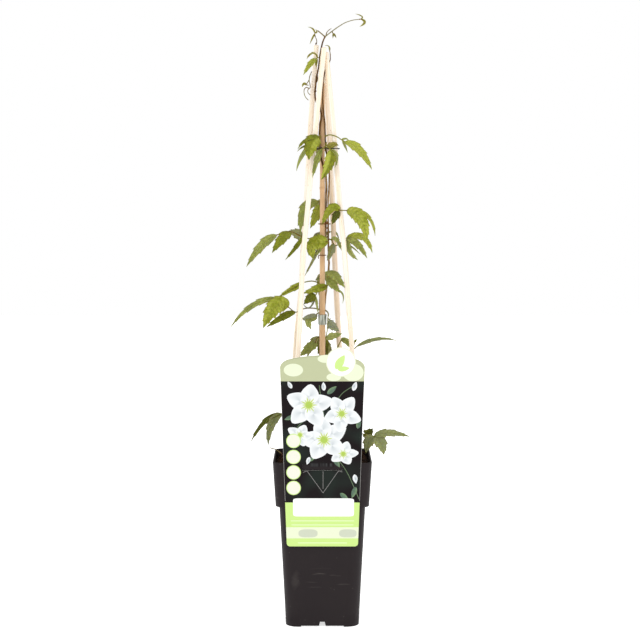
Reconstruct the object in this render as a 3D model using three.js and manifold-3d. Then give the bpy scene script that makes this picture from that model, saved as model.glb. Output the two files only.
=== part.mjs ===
// A young clematis climbing a cane between four slats, in a tall square nursery pot.
// Millimetres, +Z up, front towards -Y. The origin is the middle of the pot's underside.

import * as THREE from 'three';
import { mergeVertices } from 'three/addons/utils/BufferGeometryUtils.js';
import Module from 'manifold-3d';

const wasm = await Module();
wasm.setup();

// ---------------------------------------------------------------- driving dimensions

const CLEARANCE = 0.35;            // gap left between pieces that touch

const POT_HEIGHT = 212;
const POT_RIM_HALF = 62.5;         // half the outer width at the rim
const POT_BAND_BOTTOM = 155;       // underside of the wide rim band
const POT_BAND_HALF = 59;
const POT_BODY_HALF = 54.5;        // just under the band
const POT_SKIRT_HALF = 46.2;       // lowest edge between the feet
const POT_SKIRT_BOTTOM = 1.2;
const POT_BASE_HALF = 47;
const POT_WALL = 1.6;
const POT_FLOOR_BOTTOM = 6.5;
const POT_FLOOR_TOP = 8.5;
const POT_RIM_RADIUS = 12;
const POT_BASE_RADIUS = 16;
const FOOT_INNER = 27.3;           // a corner foot runs from here outwards
const FOOT_HALF = 47.4;
const NOTCH_BOTTOM_WIDTH = 9;
const NOTCH_TOP_WIDTH = 6;
const NOTCH_HEIGHT = 6.3;
const PAD_RADIUS = 12;             // the flat boss in the middle of the underside
const DRAIN_RADIUS = 4;
const DRAIN_RING = 30;

const SOIL_EDGE = 201;             // height of the compost along the wall
const SOIL_CROWN = 204.5;

const STICK_WIDTH = 6.6;
const STICK_DEPTH = 6;
const STICK_CHAMFER = 1.4;

const LABEL_THICKNESS = 0.8;
const LABEL_TOP_HALF = 52.6;
const LABEL_BOTTOM_HALF = 44.7;
const LABEL_SHOULDER = 127;        // heights along the plate, from the pot's rim
const LABEL_CROWN = 136;
const LABEL_BOTTOM = -106.5;
const LABEL_SLOT_TOP = -1.2;
const LABEL_SLOT_BOTTOM = -8.9;
const LABEL_SLOT_HALF = 24.9;
const LABEL_DISC = { x: 22.9, y: 128, radius: 18.5 };
const TONGUE_HALF = 15;
const TONGUE_LENGTH = 9;

const BLADE_THICKNESS = 0.7;
const BLADE_NECK = 0.8;            // half width where a leaflet meets its stalk
const BLADE_TIP = 0.4;
const STALK_RADIUS = 0.9;
const FINE_STALK_RADIUS = 0.6;
const BUD_GAP = 0.5;

const BROWN_STEM = 0x4a2f1a;
const LEAF_BRIGHT = 0x8a9a2c;
const LEAF_MID = 0x6b7a34;
const LEAF_DARK = 0x4d5a26;
const LEAF_YOUNG = 0xa8a355;
const SLAT = 0xf6e3c4;

// ---------------------------------------------------------------- shared tools

const vec = (x, y, z) => new THREE.Vector3(x, y, z);
const points = (rows) => rows.map((row) => vec(...row));

function solid(vertices, triangles) {
  const geometry = new THREE.BufferGeometry();
  geometry.setAttribute('position', new THREE.Float32BufferAttribute(vertices.flatMap((v) => v.toArray()), 3));
  geometry.setIndex(triangles.flat());
  return geometry;
}

// Skins a row of rings that all hold the same number of points. Each ring runs
// anticlockwise about the direction of travel, so the faces point outwards.
function loft(rings, { closed = false } = {}) {
  const count = rings[0].length;
  const triangles = [];
  const spans = closed ? rings.length : rings.length - 1;
  for (let i = 0; i < spans; i += 1) {
    const low = i * count;
    const high = ((i + 1) % rings.length) * count;
    for (let j = 0; j < count; j += 1) {
      const next = (j + 1) % count;
      triangles.push([low + j, low + next, high + next], [low + j, high + next, high + j]);
    }
  }
  if (!closed) {
    const last = (rings.length - 1) * count;
    for (let j = 1; j < count - 1; j += 1) {
      triangles.push([0, j + 1, j], [last, last + j, last + j + 1]);
    }
  }
  return solid(rings.flat(), triangles);
}

// A round tube along a smooth line through every row, with perSpan rings from one row to
// the next. radius is one number, or a pair from start to end.
function tube(rows, radius, { sides = 5, perSpan = 1, closed = false } = {}) {
  const [from, to] = Array.isArray(radius) ? radius : [radius, radius];
  const curve = new THREE.CatmullRomCurve3(points(rows), closed, 'centripetal');
  const spans = closed ? rows.length : rows.length - 1;
  const steps = spans * perSpan;
  const count = closed ? steps : steps + 1;
  const upright = Math.abs(curve.getTangent(0).z) > 0.9;
  const normal = upright ? vec(1, 0, 0) : vec(0, 0, 1);
  const rings = [];
  for (let i = 0; i < count; i += 1) {
    const centre = curve.getPoint(i / steps);
    const tangent = curve.getTangent(i / steps);
    normal.addScaledVector(tangent, -normal.dot(tangent)).normalize();
    const binormal = tangent.clone().cross(normal);
    const size = THREE.MathUtils.lerp(from, to, i / steps);
    const ring = [];
    for (let j = 0; j < sides; j += 1) {
      const angle = (j / sides) * Math.PI * 2;
      ring.push(centre.clone()
        .addScaledVector(normal, Math.cos(angle) * size)
        .addScaledVector(binormal, Math.sin(angle) * size));
    }
    rings.push(ring);
  }
  return loft(rings, { closed });
}

function toManifold(geometry) {
  const bare = geometry.clone();
  bare.deleteAttribute('normal');
  bare.deleteAttribute('uv');
  const merged = mergeVertices(bare, 1e-4);
  return new wasm.Manifold(new wasm.Mesh({
    numProp: 3,
    vertProperties: new Float32Array(merged.attributes.position.array),
    triVerts: new Uint32Array(merged.index.array),
  }));
}

function fromManifold(body) {
  const mesh = body.getMesh();
  const geometry = new THREE.BufferGeometry();
  geometry.setAttribute('position', new THREE.Float32BufferAttribute(mesh.vertProperties, 3));
  geometry.setIndex(Array.from(mesh.triVerts));
  return geometry;
}

const fuse = (...shapes) => fromManifold(shapes.map(toManifold).reduce((a, b) => a.add(b)));

const cut = (body, ...tools) => fromManifold(
  tools.map(toManifold).reduce((left, tool) => left.subtract(tool), toManifold(body)),
);

function box(width, depth, height, x, y, z) {
  return new THREE.BoxGeometry(width, depth, height).translate(x, y, z);
}

// A square with round corners, level at height z.
function roundedSquare(half, radius, z, perCorner = 3) {
  const ring = [];
  const centre = half - radius;
  for (let corner = 0; corner < 4; corner += 1) {
    const signX = corner === 0 || corner === 3 ? 1 : -1;
    const signY = corner < 2 ? 1 : -1;
    for (let j = 0; j <= perCorner; j += 1) {
      const angle = (corner + j / perCorner) * (Math.PI / 2);
      ring.push(vec(signX * centre + Math.cos(angle) * radius, signY * centre + Math.sin(angle) * radius, z));
    }
  }
  return ring;
}

const parts = new THREE.Group();

function add(name, geometry, colour, { roughness = 0.7, metalness = 0 } = {}) {
  const material = new THREE.MeshStandardMaterial({ color: colour, roughness, metalness });
  const mesh = new THREE.Mesh(geometry, material);
  mesh.name = name;
  parts.add(mesh);
  return mesh;
}

// ---------------------------------------------------------------- pot

// Half width of the pot's outside at height z, on the body and on the band.
const bodyHalf = (z) => THREE.MathUtils.mapLinear(z, POT_FLOOR_TOP, POT_BAND_BOTTOM, POT_BASE_HALF, POT_BODY_HALF);
const bandHalf = (z) => THREE.MathUtils.mapLinear(z, POT_BAND_BOTTOM, POT_HEIGHT, POT_BAND_HALF, POT_RIM_HALF);

function makePot() {
  const skirtInner = POT_SKIRT_HALF - POT_WALL;
  const ledge = POT_BAND_BOTTOM + POT_WALL;
  const rings = [
    roundedSquare(skirtInner - 0.4, POT_BASE_RADIUS - POT_WALL, POT_FLOOR_BOTTOM),
    roundedSquare(skirtInner, POT_BASE_RADIUS - POT_WALL, POT_SKIRT_BOTTOM),
    roundedSquare(POT_SKIRT_HALF, POT_BASE_RADIUS, POT_SKIRT_BOTTOM),
    roundedSquare(POT_BASE_HALF, POT_BASE_RADIUS, POT_FLOOR_TOP),
    roundedSquare(POT_BODY_HALF, POT_BASE_RADIUS - 1, POT_BAND_BOTTOM),
    roundedSquare(POT_BAND_HALF, POT_RIM_RADIUS + 1, POT_BAND_BOTTOM),
    roundedSquare(POT_RIM_HALF, POT_RIM_RADIUS, POT_HEIGHT - 1),
    roundedSquare(POT_RIM_HALF - 0.4, POT_RIM_RADIUS - 0.4, POT_HEIGHT),
    roundedSquare(POT_RIM_HALF - POT_WALL, POT_RIM_RADIUS - POT_WALL, POT_HEIGHT),
    roundedSquare(POT_BAND_HALF - POT_WALL, POT_RIM_RADIUS + 1 - POT_WALL, ledge),
    roundedSquare(POT_BODY_HALF - POT_WALL, POT_BASE_RADIUS - 1 - POT_WALL, ledge),
    roundedSquare(POT_BASE_HALF - POT_WALL, POT_BASE_RADIUS - POT_WALL, POT_FLOOR_TOP),
  ];
  const cup = loft(rings);

  const footBlock = cut(
    loft([
      roundedSquare(FOOT_HALF - 0.8, POT_BASE_RADIUS, 0),
      roundedSquare(FOOT_HALF - 0.2, POT_BASE_RADIUS, POT_FLOOR_TOP),
    ]),
    loft([
      roundedSquare(skirtInner - 1, POT_BASE_RADIUS - POT_WALL, -1),
      roundedSquare(skirtInner - 1, POT_BASE_RADIUS - POT_WALL, POT_FLOOR_TOP + 1),
    ]),
    box(2 * FOOT_INNER, 200, 40, 0, 0, 0),
    box(200, 2 * FOOT_INNER, 40, 0, 0, 0),
  );
  const pad = new THREE.CylinderGeometry(PAD_RADIUS, PAD_RADIUS, POT_FLOOR_BOTTOM + 1, 16)
    .rotateX(Math.PI / 2)
    .translate(0, 0, (POT_FLOOR_BOTTOM + 1) / 2);

  const notchShape = new THREE.Shape([
    new THREE.Vector2(-NOTCH_BOTTOM_WIDTH / 2, -1),
    new THREE.Vector2(NOTCH_BOTTOM_WIDTH / 2, -1),
    new THREE.Vector2(NOTCH_TOP_WIDTH / 2, NOTCH_HEIGHT),
    new THREE.Vector2(-NOTCH_TOP_WIDTH / 2, NOTCH_HEIGHT),
  ]);
  const tools = [];
  for (let side = 0; side < 4; side += 1) {
    tools.push(new THREE.ExtrudeGeometry(notchShape, { depth: 20, bevelEnabled: false })
      .rotateX(Math.PI / 2)
      .translate(0, -35, 0)
      .rotateZ(side * (Math.PI / 2)));
  }
  for (let i = 0; i < 4; i += 1) {
    const angle = (i + 0.5) * (Math.PI / 2);
    tools.push(new THREE.CylinderGeometry(DRAIN_RADIUS, DRAIN_RADIUS, 10, 8)
      .rotateX(Math.PI / 2)
      .translate(Math.cos(angle) * DRAIN_RING, Math.sin(angle) * DRAIN_RING, POT_FLOOR_TOP - 2));
  }
  return cut(fuse(cup, footBlock, pad), ...tools);
}

// ---------------------------------------------------------------- slats and cane

// Centre lines from the top down into the compost. The slats lean in to cross at the top.
const STICKS = {
  slat_back_left: {
    line: [[-7.7, 3, 736], [-14.6, 9, 641], [-20.5, 16, 540], [-25, 22, 476], [-28.9, 28, 413], [-34.2, 33, 361],
      [-41, 41, 250], [-43, 43, 200], [-43.6, 43.6, 138]],
    turn: 0,
  },
  slat_front_left: {
    line: [[2, -8, 732], [-3.5, -10.8, 679], [-7.4, -13, 641], [-17.5, -19.5, 540], [-23.4, -26, 476],
      [-27.2, -31, 413], [-29.8, -35, 361], [-36, -41, 250], [-38, -43, 200], [-40, -43.6, 138]],
    turn: 0,
  },
  slat_back_right: {
    line: [[3.4, 7.5, 722], [7.6, 13, 641], [13, 20.5, 534], [15.8, 27, 470], [18.7, 32, 413], [21.6, 36, 361],
      [27.5, 42, 250], [29, 43, 200], [30, 43.6, 138]],
    turn: 22,
  },
  slat_front_right: {
    line: [[4.6, -1, 727], [13.1, -9, 641], [22, -18, 534], [27.7, -23.5, 476], [32.3, -29, 413], [36.8, -34, 361],
      [42, -41, 250], [43.2, -43, 200], [43.6, -43.6, 138]],
    turn: 0,
  },
};

// A slat's section is level and keeps its heading, so the long sides stay true.
function makeStick({ line, turn }, grow = 0) {
  const halfX = STICK_WIDTH / 2 + grow;
  const halfY = STICK_DEPTH / 2 + grow;
  const chamfer = STICK_CHAMFER;
  const corners = [
    [halfX, -halfY + chamfer], [halfX, halfY - chamfer], [halfX - chamfer, halfY], [-halfX + chamfer, halfY],
    [-halfX, halfY - chamfer], [-halfX, -halfY + chamfer], [-halfX + chamfer, -halfY], [halfX - chamfer, -halfY],
  ];
  const curve = new THREE.CatmullRomCurve3(points([...line].reverse()), false, 'centripetal');
  const steps = 10;
  const angle = THREE.MathUtils.degToRad(turn);
  const rings = [];
  for (let i = 0; i <= steps; i += 1) {
    const centre = curve.getPointAt(i / steps);
    rings.push(corners.map(([x, y]) => vec(
      centre.x + x * Math.cos(angle) - y * Math.sin(angle),
      centre.y + x * Math.sin(angle) + y * Math.cos(angle),
      centre.z,
    )));
  }
  return loft(rings);
}

const CANE_FOOT = 50;
const CANE_TOP = 688;
const CANE_RADIUS = [4.2, 2.8];
const CANE_NODES = [236, 398, 556];     // heights of the swollen joints
const CANE_SWELL = 0.45;
const CANE_SIDES = 10;

function makeCane(grow = 0) {
  const rings = [];
  const heights = [CANE_FOOT, ...CANE_NODES.flatMap((node) => [node - 5, node, node + 5]), CANE_TOP];
  heights.forEach((z) => {
    const taper = THREE.MathUtils.mapLinear(z, CANE_FOOT, CANE_TOP, ...CANE_RADIUS);
    const swell = CANE_NODES.includes(z) ? CANE_SWELL : 0;
    const radius = taper + swell + grow;
    const ring = [];
    for (let j = 0; j < CANE_SIDES; j += 1) {
      const angle = (j / CANE_SIDES) * Math.PI * 2;
      ring.push(vec(Math.cos(angle) * radius, Math.sin(angle) * radius, z));
    }
    rings.push(ring);
  });
  return loft(rings);
}

// ---------------------------------------------------------------- woody stems

const STEM_MAIN = {
  line: [[-5.6, 8.8, 150], [-5.2, 8.6, 205], [-3.4, 8, 280], [-2.6, 7.2, 360], [-2.2, 6.9, 430], [0.8, 6.6, 470],
    [3.9, 4.1, 500], [4.7, 2.9, 540], [5.2, 0.4, 560], [3.8, -4.2, 574], [0.6, -5.5, 585], [-2.8, -4.9, 598],
    [-3.8, -3.2, 620], [-2.9, -4, 636], [-1.2, -4.8, 648], [-3.4, -4, 657], [-7.6, -2.2, 664],
    [-9.4, -1.4, 673], [-8.6, -1.2, 684], [-7.6, -0.9, 694], [-4.8, -2.2, 708], [-3.6, -3, 720],
    [-1.2, -2.9, 733], [1, -3, 741], [3.4, -3, 746.5]],
  radius: [1.7, 0.85],
};
const STEM_SECOND = {
  line: [[6.6, 8.4, 150], [6.2, 8.2, 205], [3.8, 7.8, 280], [2.9, 7.4, 360], [2.9, 7.4, 405], [6.4, 4.4, 436],
    [8.4, 1.6, 458], [7.8, 1, 475], [7.5, 0.5, 500], [7.6, 0.2, 540], [8.6, -0.2, 560], [8.8, -1.4, 576],
    [7, -4.4, 590], [4.4, -5.6, 604], [3.6, -4.2, 622], [3, -4.4, 638], [1.6, -4.8, 652], [0.5, -4.7, 668],
    [0.8, -4.5, 683], [1.3, -3.8, 692], [2.6, -1, 700], [4.6, 2.3, 706.5], [7.6, 3, 712], [9.9, 1.6, 717.5],
    [10, 0.2, 723]],
  radius: [1.45, 0.6],
};
const SHOOT_ARCH = [[3.2, -3, 746], [6.5, -3.2, 748.6], [12.3, -3.6, 753], [20, -4, 758.4], [28.8, -4, 763.6],
  [37.8, -4, 766.6], [46.4, -4, 767.8]];
const SHOOT_STUB = [[3.2, -3, 746.4], [-1, -3.4, 749.8], [-5.6, -3.8, 753.4]];
const SHOOT_CURL = [[4.6, -3.1, 747.4], [5.6, -3.6, 751.4], [8, -4, 754.2], [11, -4.2, 756.2]];
const SHOOT_BEHIND = [[-8.1, -1.1, 688], [-6.2, 4, 693], [-6.4, 10, 700], [-8, 10.2, 712], [-8.6, 8.6, 728],
  [-8.2, 6.8, 737.4], [-7.2, 3.4, 739], [-7.4, 2.4, 743], [-9, 2, 746.6]];
const STEM_KNOTS = [[-9, -1.2, 678, 1.7], [3.1, -3, 745.6, 1.3], [-7.9, 4.6, 738.6, 1.2]];

const knot = ([x, y, z, radius]) => new THREE.IcosahedronGeometry(radius, 0).translate(x, y, z);

function makeStemMain() {
  return fuse(
    tube(STEM_MAIN.line, STEM_MAIN.radius),
    tube(SHOOT_ARCH, [0.75, 0.5], { sides: 4 }),
    tube(SHOOT_STUB, [0.85, 0.75]),
    tube(SHOOT_CURL, [0.7, 0.4], { sides: 4 }),
    tube(SHOOT_BEHIND, [0.75, 0.45], { sides: 4 }),
    ...STEM_KNOTS.map(knot),
  );
}

const makeStemSecond = () => tube(STEM_SECOND.line, STEM_SECOND.radius);

// ---------------------------------------------------------------- compost

// The surface is highest behind the right of the cane and dips along the front wall.
function soilHeight(x, y) {
  const rise = THREE.MathUtils.smoothstep(x + y * 0.6, -20, 70) * 4.5;
  const lumps = Math.sin(x * 0.31 + 1.3) * Math.cos(y * 0.27 - 0.6) * 1.1 + Math.sin(x * 0.13 - y * 0.19) * 0.9;
  return SOIL_CROWN + rise + lumps;
}

function makeSoil() {
  const inset = POT_WALL + CLEARANCE;
  const ledge = POT_BAND_BOTTOM + POT_WALL + CLEARANCE;
  const rings = [
    roundedSquare(POT_BASE_HALF - inset, POT_BASE_RADIUS - inset, POT_FLOOR_TOP + CLEARANCE),
    roundedSquare(bodyHalf(ledge - 1) - inset, POT_BASE_RADIUS - 1 - inset, ledge),
    roundedSquare(bandHalf(ledge) - inset - 0.2, POT_RIM_RADIUS + 1 - inset, ledge),
    roundedSquare(bandHalf(SOIL_EDGE) - inset - 0.2, POT_RIM_RADIUS - inset, SOIL_EDGE),
  ];
  [0.9, 0.7, 0.48, 0.26, 0.08].forEach((share) => {
    const ring = roundedSquare(bandHalf(SOIL_EDGE) * share, POT_RIM_RADIUS * share, 0);
    ring.forEach((v) => v.setZ(THREE.MathUtils.lerp(SOIL_EDGE + 1, soilHeight(v.x, v.y), share > 0.8 ? 0.5 : 1)));
    rings.push(ring);
  });
  const holes = [
    makeCane(CLEARANCE),
    ...Object.values(STICKS).map((stick) => makeStick(stick, CLEARANCE)),
    ...[STEM_MAIN, STEM_SECOND].map(({ line, radius }) => tube(line, radius.map((size) => size + CLEARANCE))),
  ];
  return cut(loft(rings), ...holes);
}

// ---------------------------------------------------------------- ties

// A band of tape is a thin wall that runs round an outline given as [x, y] corners.
function makeBand(outline, wall, bottom, top) {
  const curve = new THREE.CatmullRomCurve3(outline.map(([x, y]) => vec(x, y, 0)), true, 'centripetal');
  const steps = 16;
  const across = [];
  for (let i = 0; i < steps; i += 1) {
    const centre = curve.getPointAt(i / steps);
    const tangent = curve.getTangentAt(i / steps);
    const out = vec(tangent.y, -tangent.x, 0);
    const corner = (offset, z) => centre.clone().addScaledVector(out, offset).setZ(z);
    across.push([corner(0, bottom), corner(0, top), corner(wall, top), corner(wall, bottom)]);
  }
  return loft(across, { closed: true });
}

const TAPE = { outline: [[0, -4.2], [4.2, -1], [5, 4.6], [4, 9.3], [-3.6, 9.2], [-4.9, 4.6], [-4.2, -1]], wall: 0.6,
  bottom: 381, top: 394 };

const WIRE_RADIUS = 0.6;
const WIRE_LOOP = [[-15.6, -19.4, 605], [-7, -19.5, 605], [12, -17.9, 605], [20.7, -17.4, 605], [21.2, -9, 605],
  [15, 17.4, 605], [12.6, 21.2, 605], [7, 21.4, 605], [-14, 16.8, 605], [-20.8, 16.4, 605], [-21, 9, 605],
  [-16.4, -12, 605]];
const WIRE_TAIL = [[0, -18.9, 605], [-2, -20.4, 606.6], [-6, -21, 607.4], [-11, -21.2, 607], [-12.8, -21.2, 604.8],
  [-10.8, -21.2, 603], [-8, -21, 603.4]];

const makeRackTie = () => fuse(
  tube(WIRE_LOOP, WIRE_RADIUS, { perSpan: 2, closed: true }),
  tube(WIRE_TAIL, [0.7, 0.45], { sides: 4 }),
);

const CLIP_LOOP = [[0, -4.5, 510], [5, -4, 510], [9.2, -1.8, 510], [9.8, 1.4, 510], [6.4, 5.8, 510], [2, 6.2, 510],
  [-3, 4.2, 510], [-4.6, 0, 510], [-3.2, -3.6, 510]];
const CLIP_TAIL = [[5, -4, 510], [6.4, -5.2, 512.6], [7.6, -5.4, 509], [6.2, -5.4, 505], [4.4, -5.2, 503]];

const makeCaneClip = () => fuse(
  tube(CLIP_LOOP, 0.7, { perSpan: 2, closed: true }),
  tube(CLIP_TAIL, [0.9, 0.6]),
);

const RING_LOOP = [[0, -4.7, 470], [3.4, -3.4, 470], [4.7, 0, 470], [4.4, 6, 470], [1.2, 9.3, 470], [-2.4, 8, 470],
  [-4.7, 2, 470], [-4, -2.8, 470]];
const RING_TAIL = [[-4, -2.8, 470], [-5.2, -3.6, 468.6], [-4.8, -4.2, 466]];

const makeCaneRing = () => fuse(
  tube(RING_LOOP, 0.5, { sides: 4, perSpan: 2, closed: true }),
  tube(RING_TAIL, [0.6, 0.5], { sides: 4 }),
);

// ---------------------------------------------------------------- label

// The plate is drawn upright, x across and y along it from the rim, and is then leaned.
const LABEL_LEAN = Math.atan2(POT_RIM_HALF - POT_BAND_HALF, POT_HEIGHT - POT_BAND_BOTTOM);

function makeLabel() {
  const outline = new THREE.Shape();
  const corner = 4;
  outline.moveTo(-LABEL_BOTTOM_HALF + corner, LABEL_BOTTOM);
  outline.lineTo(LABEL_BOTTOM_HALF - corner, LABEL_BOTTOM);
  outline.quadraticCurveTo(LABEL_BOTTOM_HALF, LABEL_BOTTOM, LABEL_BOTTOM_HALF, LABEL_BOTTOM + corner);
  outline.lineTo(LABEL_TOP_HALF, LABEL_SHOULDER - 6);
  outline.quadraticCurveTo(LABEL_TOP_HALF, LABEL_SHOULDER, LABEL_TOP_HALF - 9, LABEL_SHOULDER + 4);
  outline.quadraticCurveTo(4, 2 * LABEL_CROWN - LABEL_SHOULDER - 3, -LABEL_TOP_HALF + 9, LABEL_SHOULDER + 4);
  outline.quadraticCurveTo(-LABEL_TOP_HALF, LABEL_SHOULDER, -LABEL_TOP_HALF, LABEL_SHOULDER - 6);
  outline.lineTo(-LABEL_BOTTOM_HALF, LABEL_BOTTOM + corner);
  outline.quadraticCurveTo(-LABEL_BOTTOM_HALF, LABEL_BOTTOM, -LABEL_BOTTOM_HALF + corner, LABEL_BOTTOM);
  outline.holes.push(new THREE.Path([
    new THREE.Vector2(-LABEL_SLOT_HALF, LABEL_SLOT_BOTTOM),
    new THREE.Vector2(-LABEL_SLOT_HALF, LABEL_SLOT_TOP),
    new THREE.Vector2(LABEL_SLOT_HALF, LABEL_SLOT_TOP),
    new THREE.Vector2(LABEL_SLOT_HALF, LABEL_SLOT_BOTTOM),
  ]));
  const flat = { depth: LABEL_THICKNESS, bevelEnabled: false, curveSegments: 8 };
  const plate = new THREE.ExtrudeGeometry(outline, flat);

  const disc = new THREE.CylinderGeometry(LABEL_DISC.radius, LABEL_DISC.radius, LABEL_THICKNESS, 32)
    .rotateX(Math.PI / 2)
    .translate(LABEL_DISC.x, LABEL_DISC.y, LABEL_THICKNESS / 2);

  // The tongue crosses the rim just above it and hangs down inside the wall.
  const reach = POT_WALL + 2 * CLEARANCE + LABEL_THICKNESS;
  const top = 0.4;
  const bridge = box(2 * TONGUE_HALF, LABEL_THICKNESS, reach + LABEL_THICKNESS / 2, 0,
    top + LABEL_THICKNESS / 2, (LABEL_THICKNESS / 2 - reach) / 2);
  const flap = box(2 * TONGUE_HALF, TONGUE_LENGTH, LABEL_THICKNESS, 0,
    top + LABEL_THICKNESS - TONGUE_LENGTH / 2, -reach + LABEL_THICKNESS / 2);
  return fuse(plate, disc, bridge, flap);
}

// ---------------------------------------------------------------- leaves

// Half width of a leaflet along its length, 0 at the stalk and 1 at the tip: round at
// the base, widest a third of the way up, and drawn out to a long point.
function bladeShare(t) {
  return Math.sin(Math.PI * t ** 0.66) ** 0.85 * (1 - 0.3 * t);
}

// Where the outline has its valleys and tooth points, as [place, widening, lean] rows.
function bladeStations(teeth) {
  if (teeth === 0) {
    return [[0, 0, 0], [0.2, 1, 0], [0.58, 1, 0], [1, 0, 0]];
  }
  const rows = teeth > 2 ? [[0, 0, 0], [0.06, 1, 0]] : [[0, 0, 0]];
  const first = 0.14;
  const pitch = (0.86 - first) / teeth;
  for (let i = 0; i < teeth; i += 1) {
    rows.push([first + pitch * i, 0.9, 0], [first + pitch * (i + 0.62), 1.16, pitch * 0.28]);
  }
  rows.push([1, 0, 0]);
  return rows;
}

// One leaflet: its rib runs from base through via to tip, its upper side looks along face,
// and the two halves fold up from the rib by fold degrees. Both sides share one mesh of
// triangles, so the thin blade never crosses itself.
function makeLeaflet([base, via, tip, width, face, fold, teeth]) {
  const [start, middle, end] = points([base, via, tip]);
  const control = middle.clone().multiplyScalar(2).sub(start.clone().add(end).multiplyScalar(0.5));
  const rib = new THREE.QuadraticBezierCurve3(start, control, end);
  const length = rib.getLength();
  const bend = THREE.MathUtils.degToRad(fold);
  const vertices = [];
  bladeStations(teeth).forEach(([t, widening, lean], index, rows) => {
    const centre = rib.getPointAt(t);
    const along = rib.getTangentAt(t);
    const side = along.clone().cross(vec(...face)).normalize();
    const up = side.clone().cross(along);
    let half = bladeShare(t) * widening * (width / 2);
    if (index === 0) half = Math.min(BLADE_NECK, width / 3);
    if (index === rows.length - 1) half = BLADE_TIP;
    const edge = (sign) => centre.clone()
      .addScaledVector(side, sign * half * Math.cos(bend))
      .addScaledVector(up, half * Math.sin(bend))
      .addScaledVector(along, lean * length);
    [edge(1), centre, edge(-1)].forEach((v) => vertices.push(v));
    [edge(1), centre, edge(-1)].forEach((v) => vertices.push(v.clone().addScaledVector(up, -BLADE_THICKNESS)));
  });

  const triangles = [];
  const count = vertices.length / 6;
  const [upRight, upRib, upLeft, lowRight, lowRib, lowLeft] = [0, 1, 2, 3, 4, 5];
  const quad = (a, b, row, flip) => {
    const [p, q, r, s] = [row + a, row + b, row + 6 + b, row + 6 + a];
    triangles.push(...(flip ? [[p, r, q], [p, s, r]] : [[p, q, r], [p, r, s]]));
  };
  for (let i = 0; i < count - 1; i += 1) {
    const row = i * 6;
    quad(upRib, upRight, row, false);
    quad(upRib, upLeft, row, true);
    quad(lowRib, lowRight, row, true);
    quad(lowRib, lowLeft, row, false);
    quad(upRight, lowRight, row, false);
    quad(upLeft, lowLeft, row, true);
  }
  const last = (count - 1) * 6;
  [[upRight, lowRight, lowRib], [upRight, lowRib, upRib], [upRib, lowRib, lowLeft], [upRib, lowLeft, upLeft]]
    .forEach(([a, b, c]) => triangles.push([a, c, b], [last + a, last + b, last + c]));
  return solid(vertices, triangles);
}

const stalk = (rows) => tube(rows, STALK_RADIUS, { sides: 4 });
const fineStalk = (rows) => tube(rows, FINE_STALK_RADIUS, { sides: 4 });

// The point a hair off a stem's bark at a height, on the side that looks toward.
function budPoint({ line, radius }, height, toward) {
  const next = line.findIndex(([, , z]) => z >= height);
  const [below, above] = points(line.slice(next - 1, next + 1));
  const share = (height - below.z) / (above.z - below.z);
  const centre = below.lerp(above, share);
  const bark = THREE.MathUtils.lerp(radius[0], radius[1], (next - 1 + share) / (line.length - 1));
  const away = vec(...toward).sub(centre).setZ(0).normalize();
  return centre.addScaledVector(away, bark + BUD_GAP).toArray();
}

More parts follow.
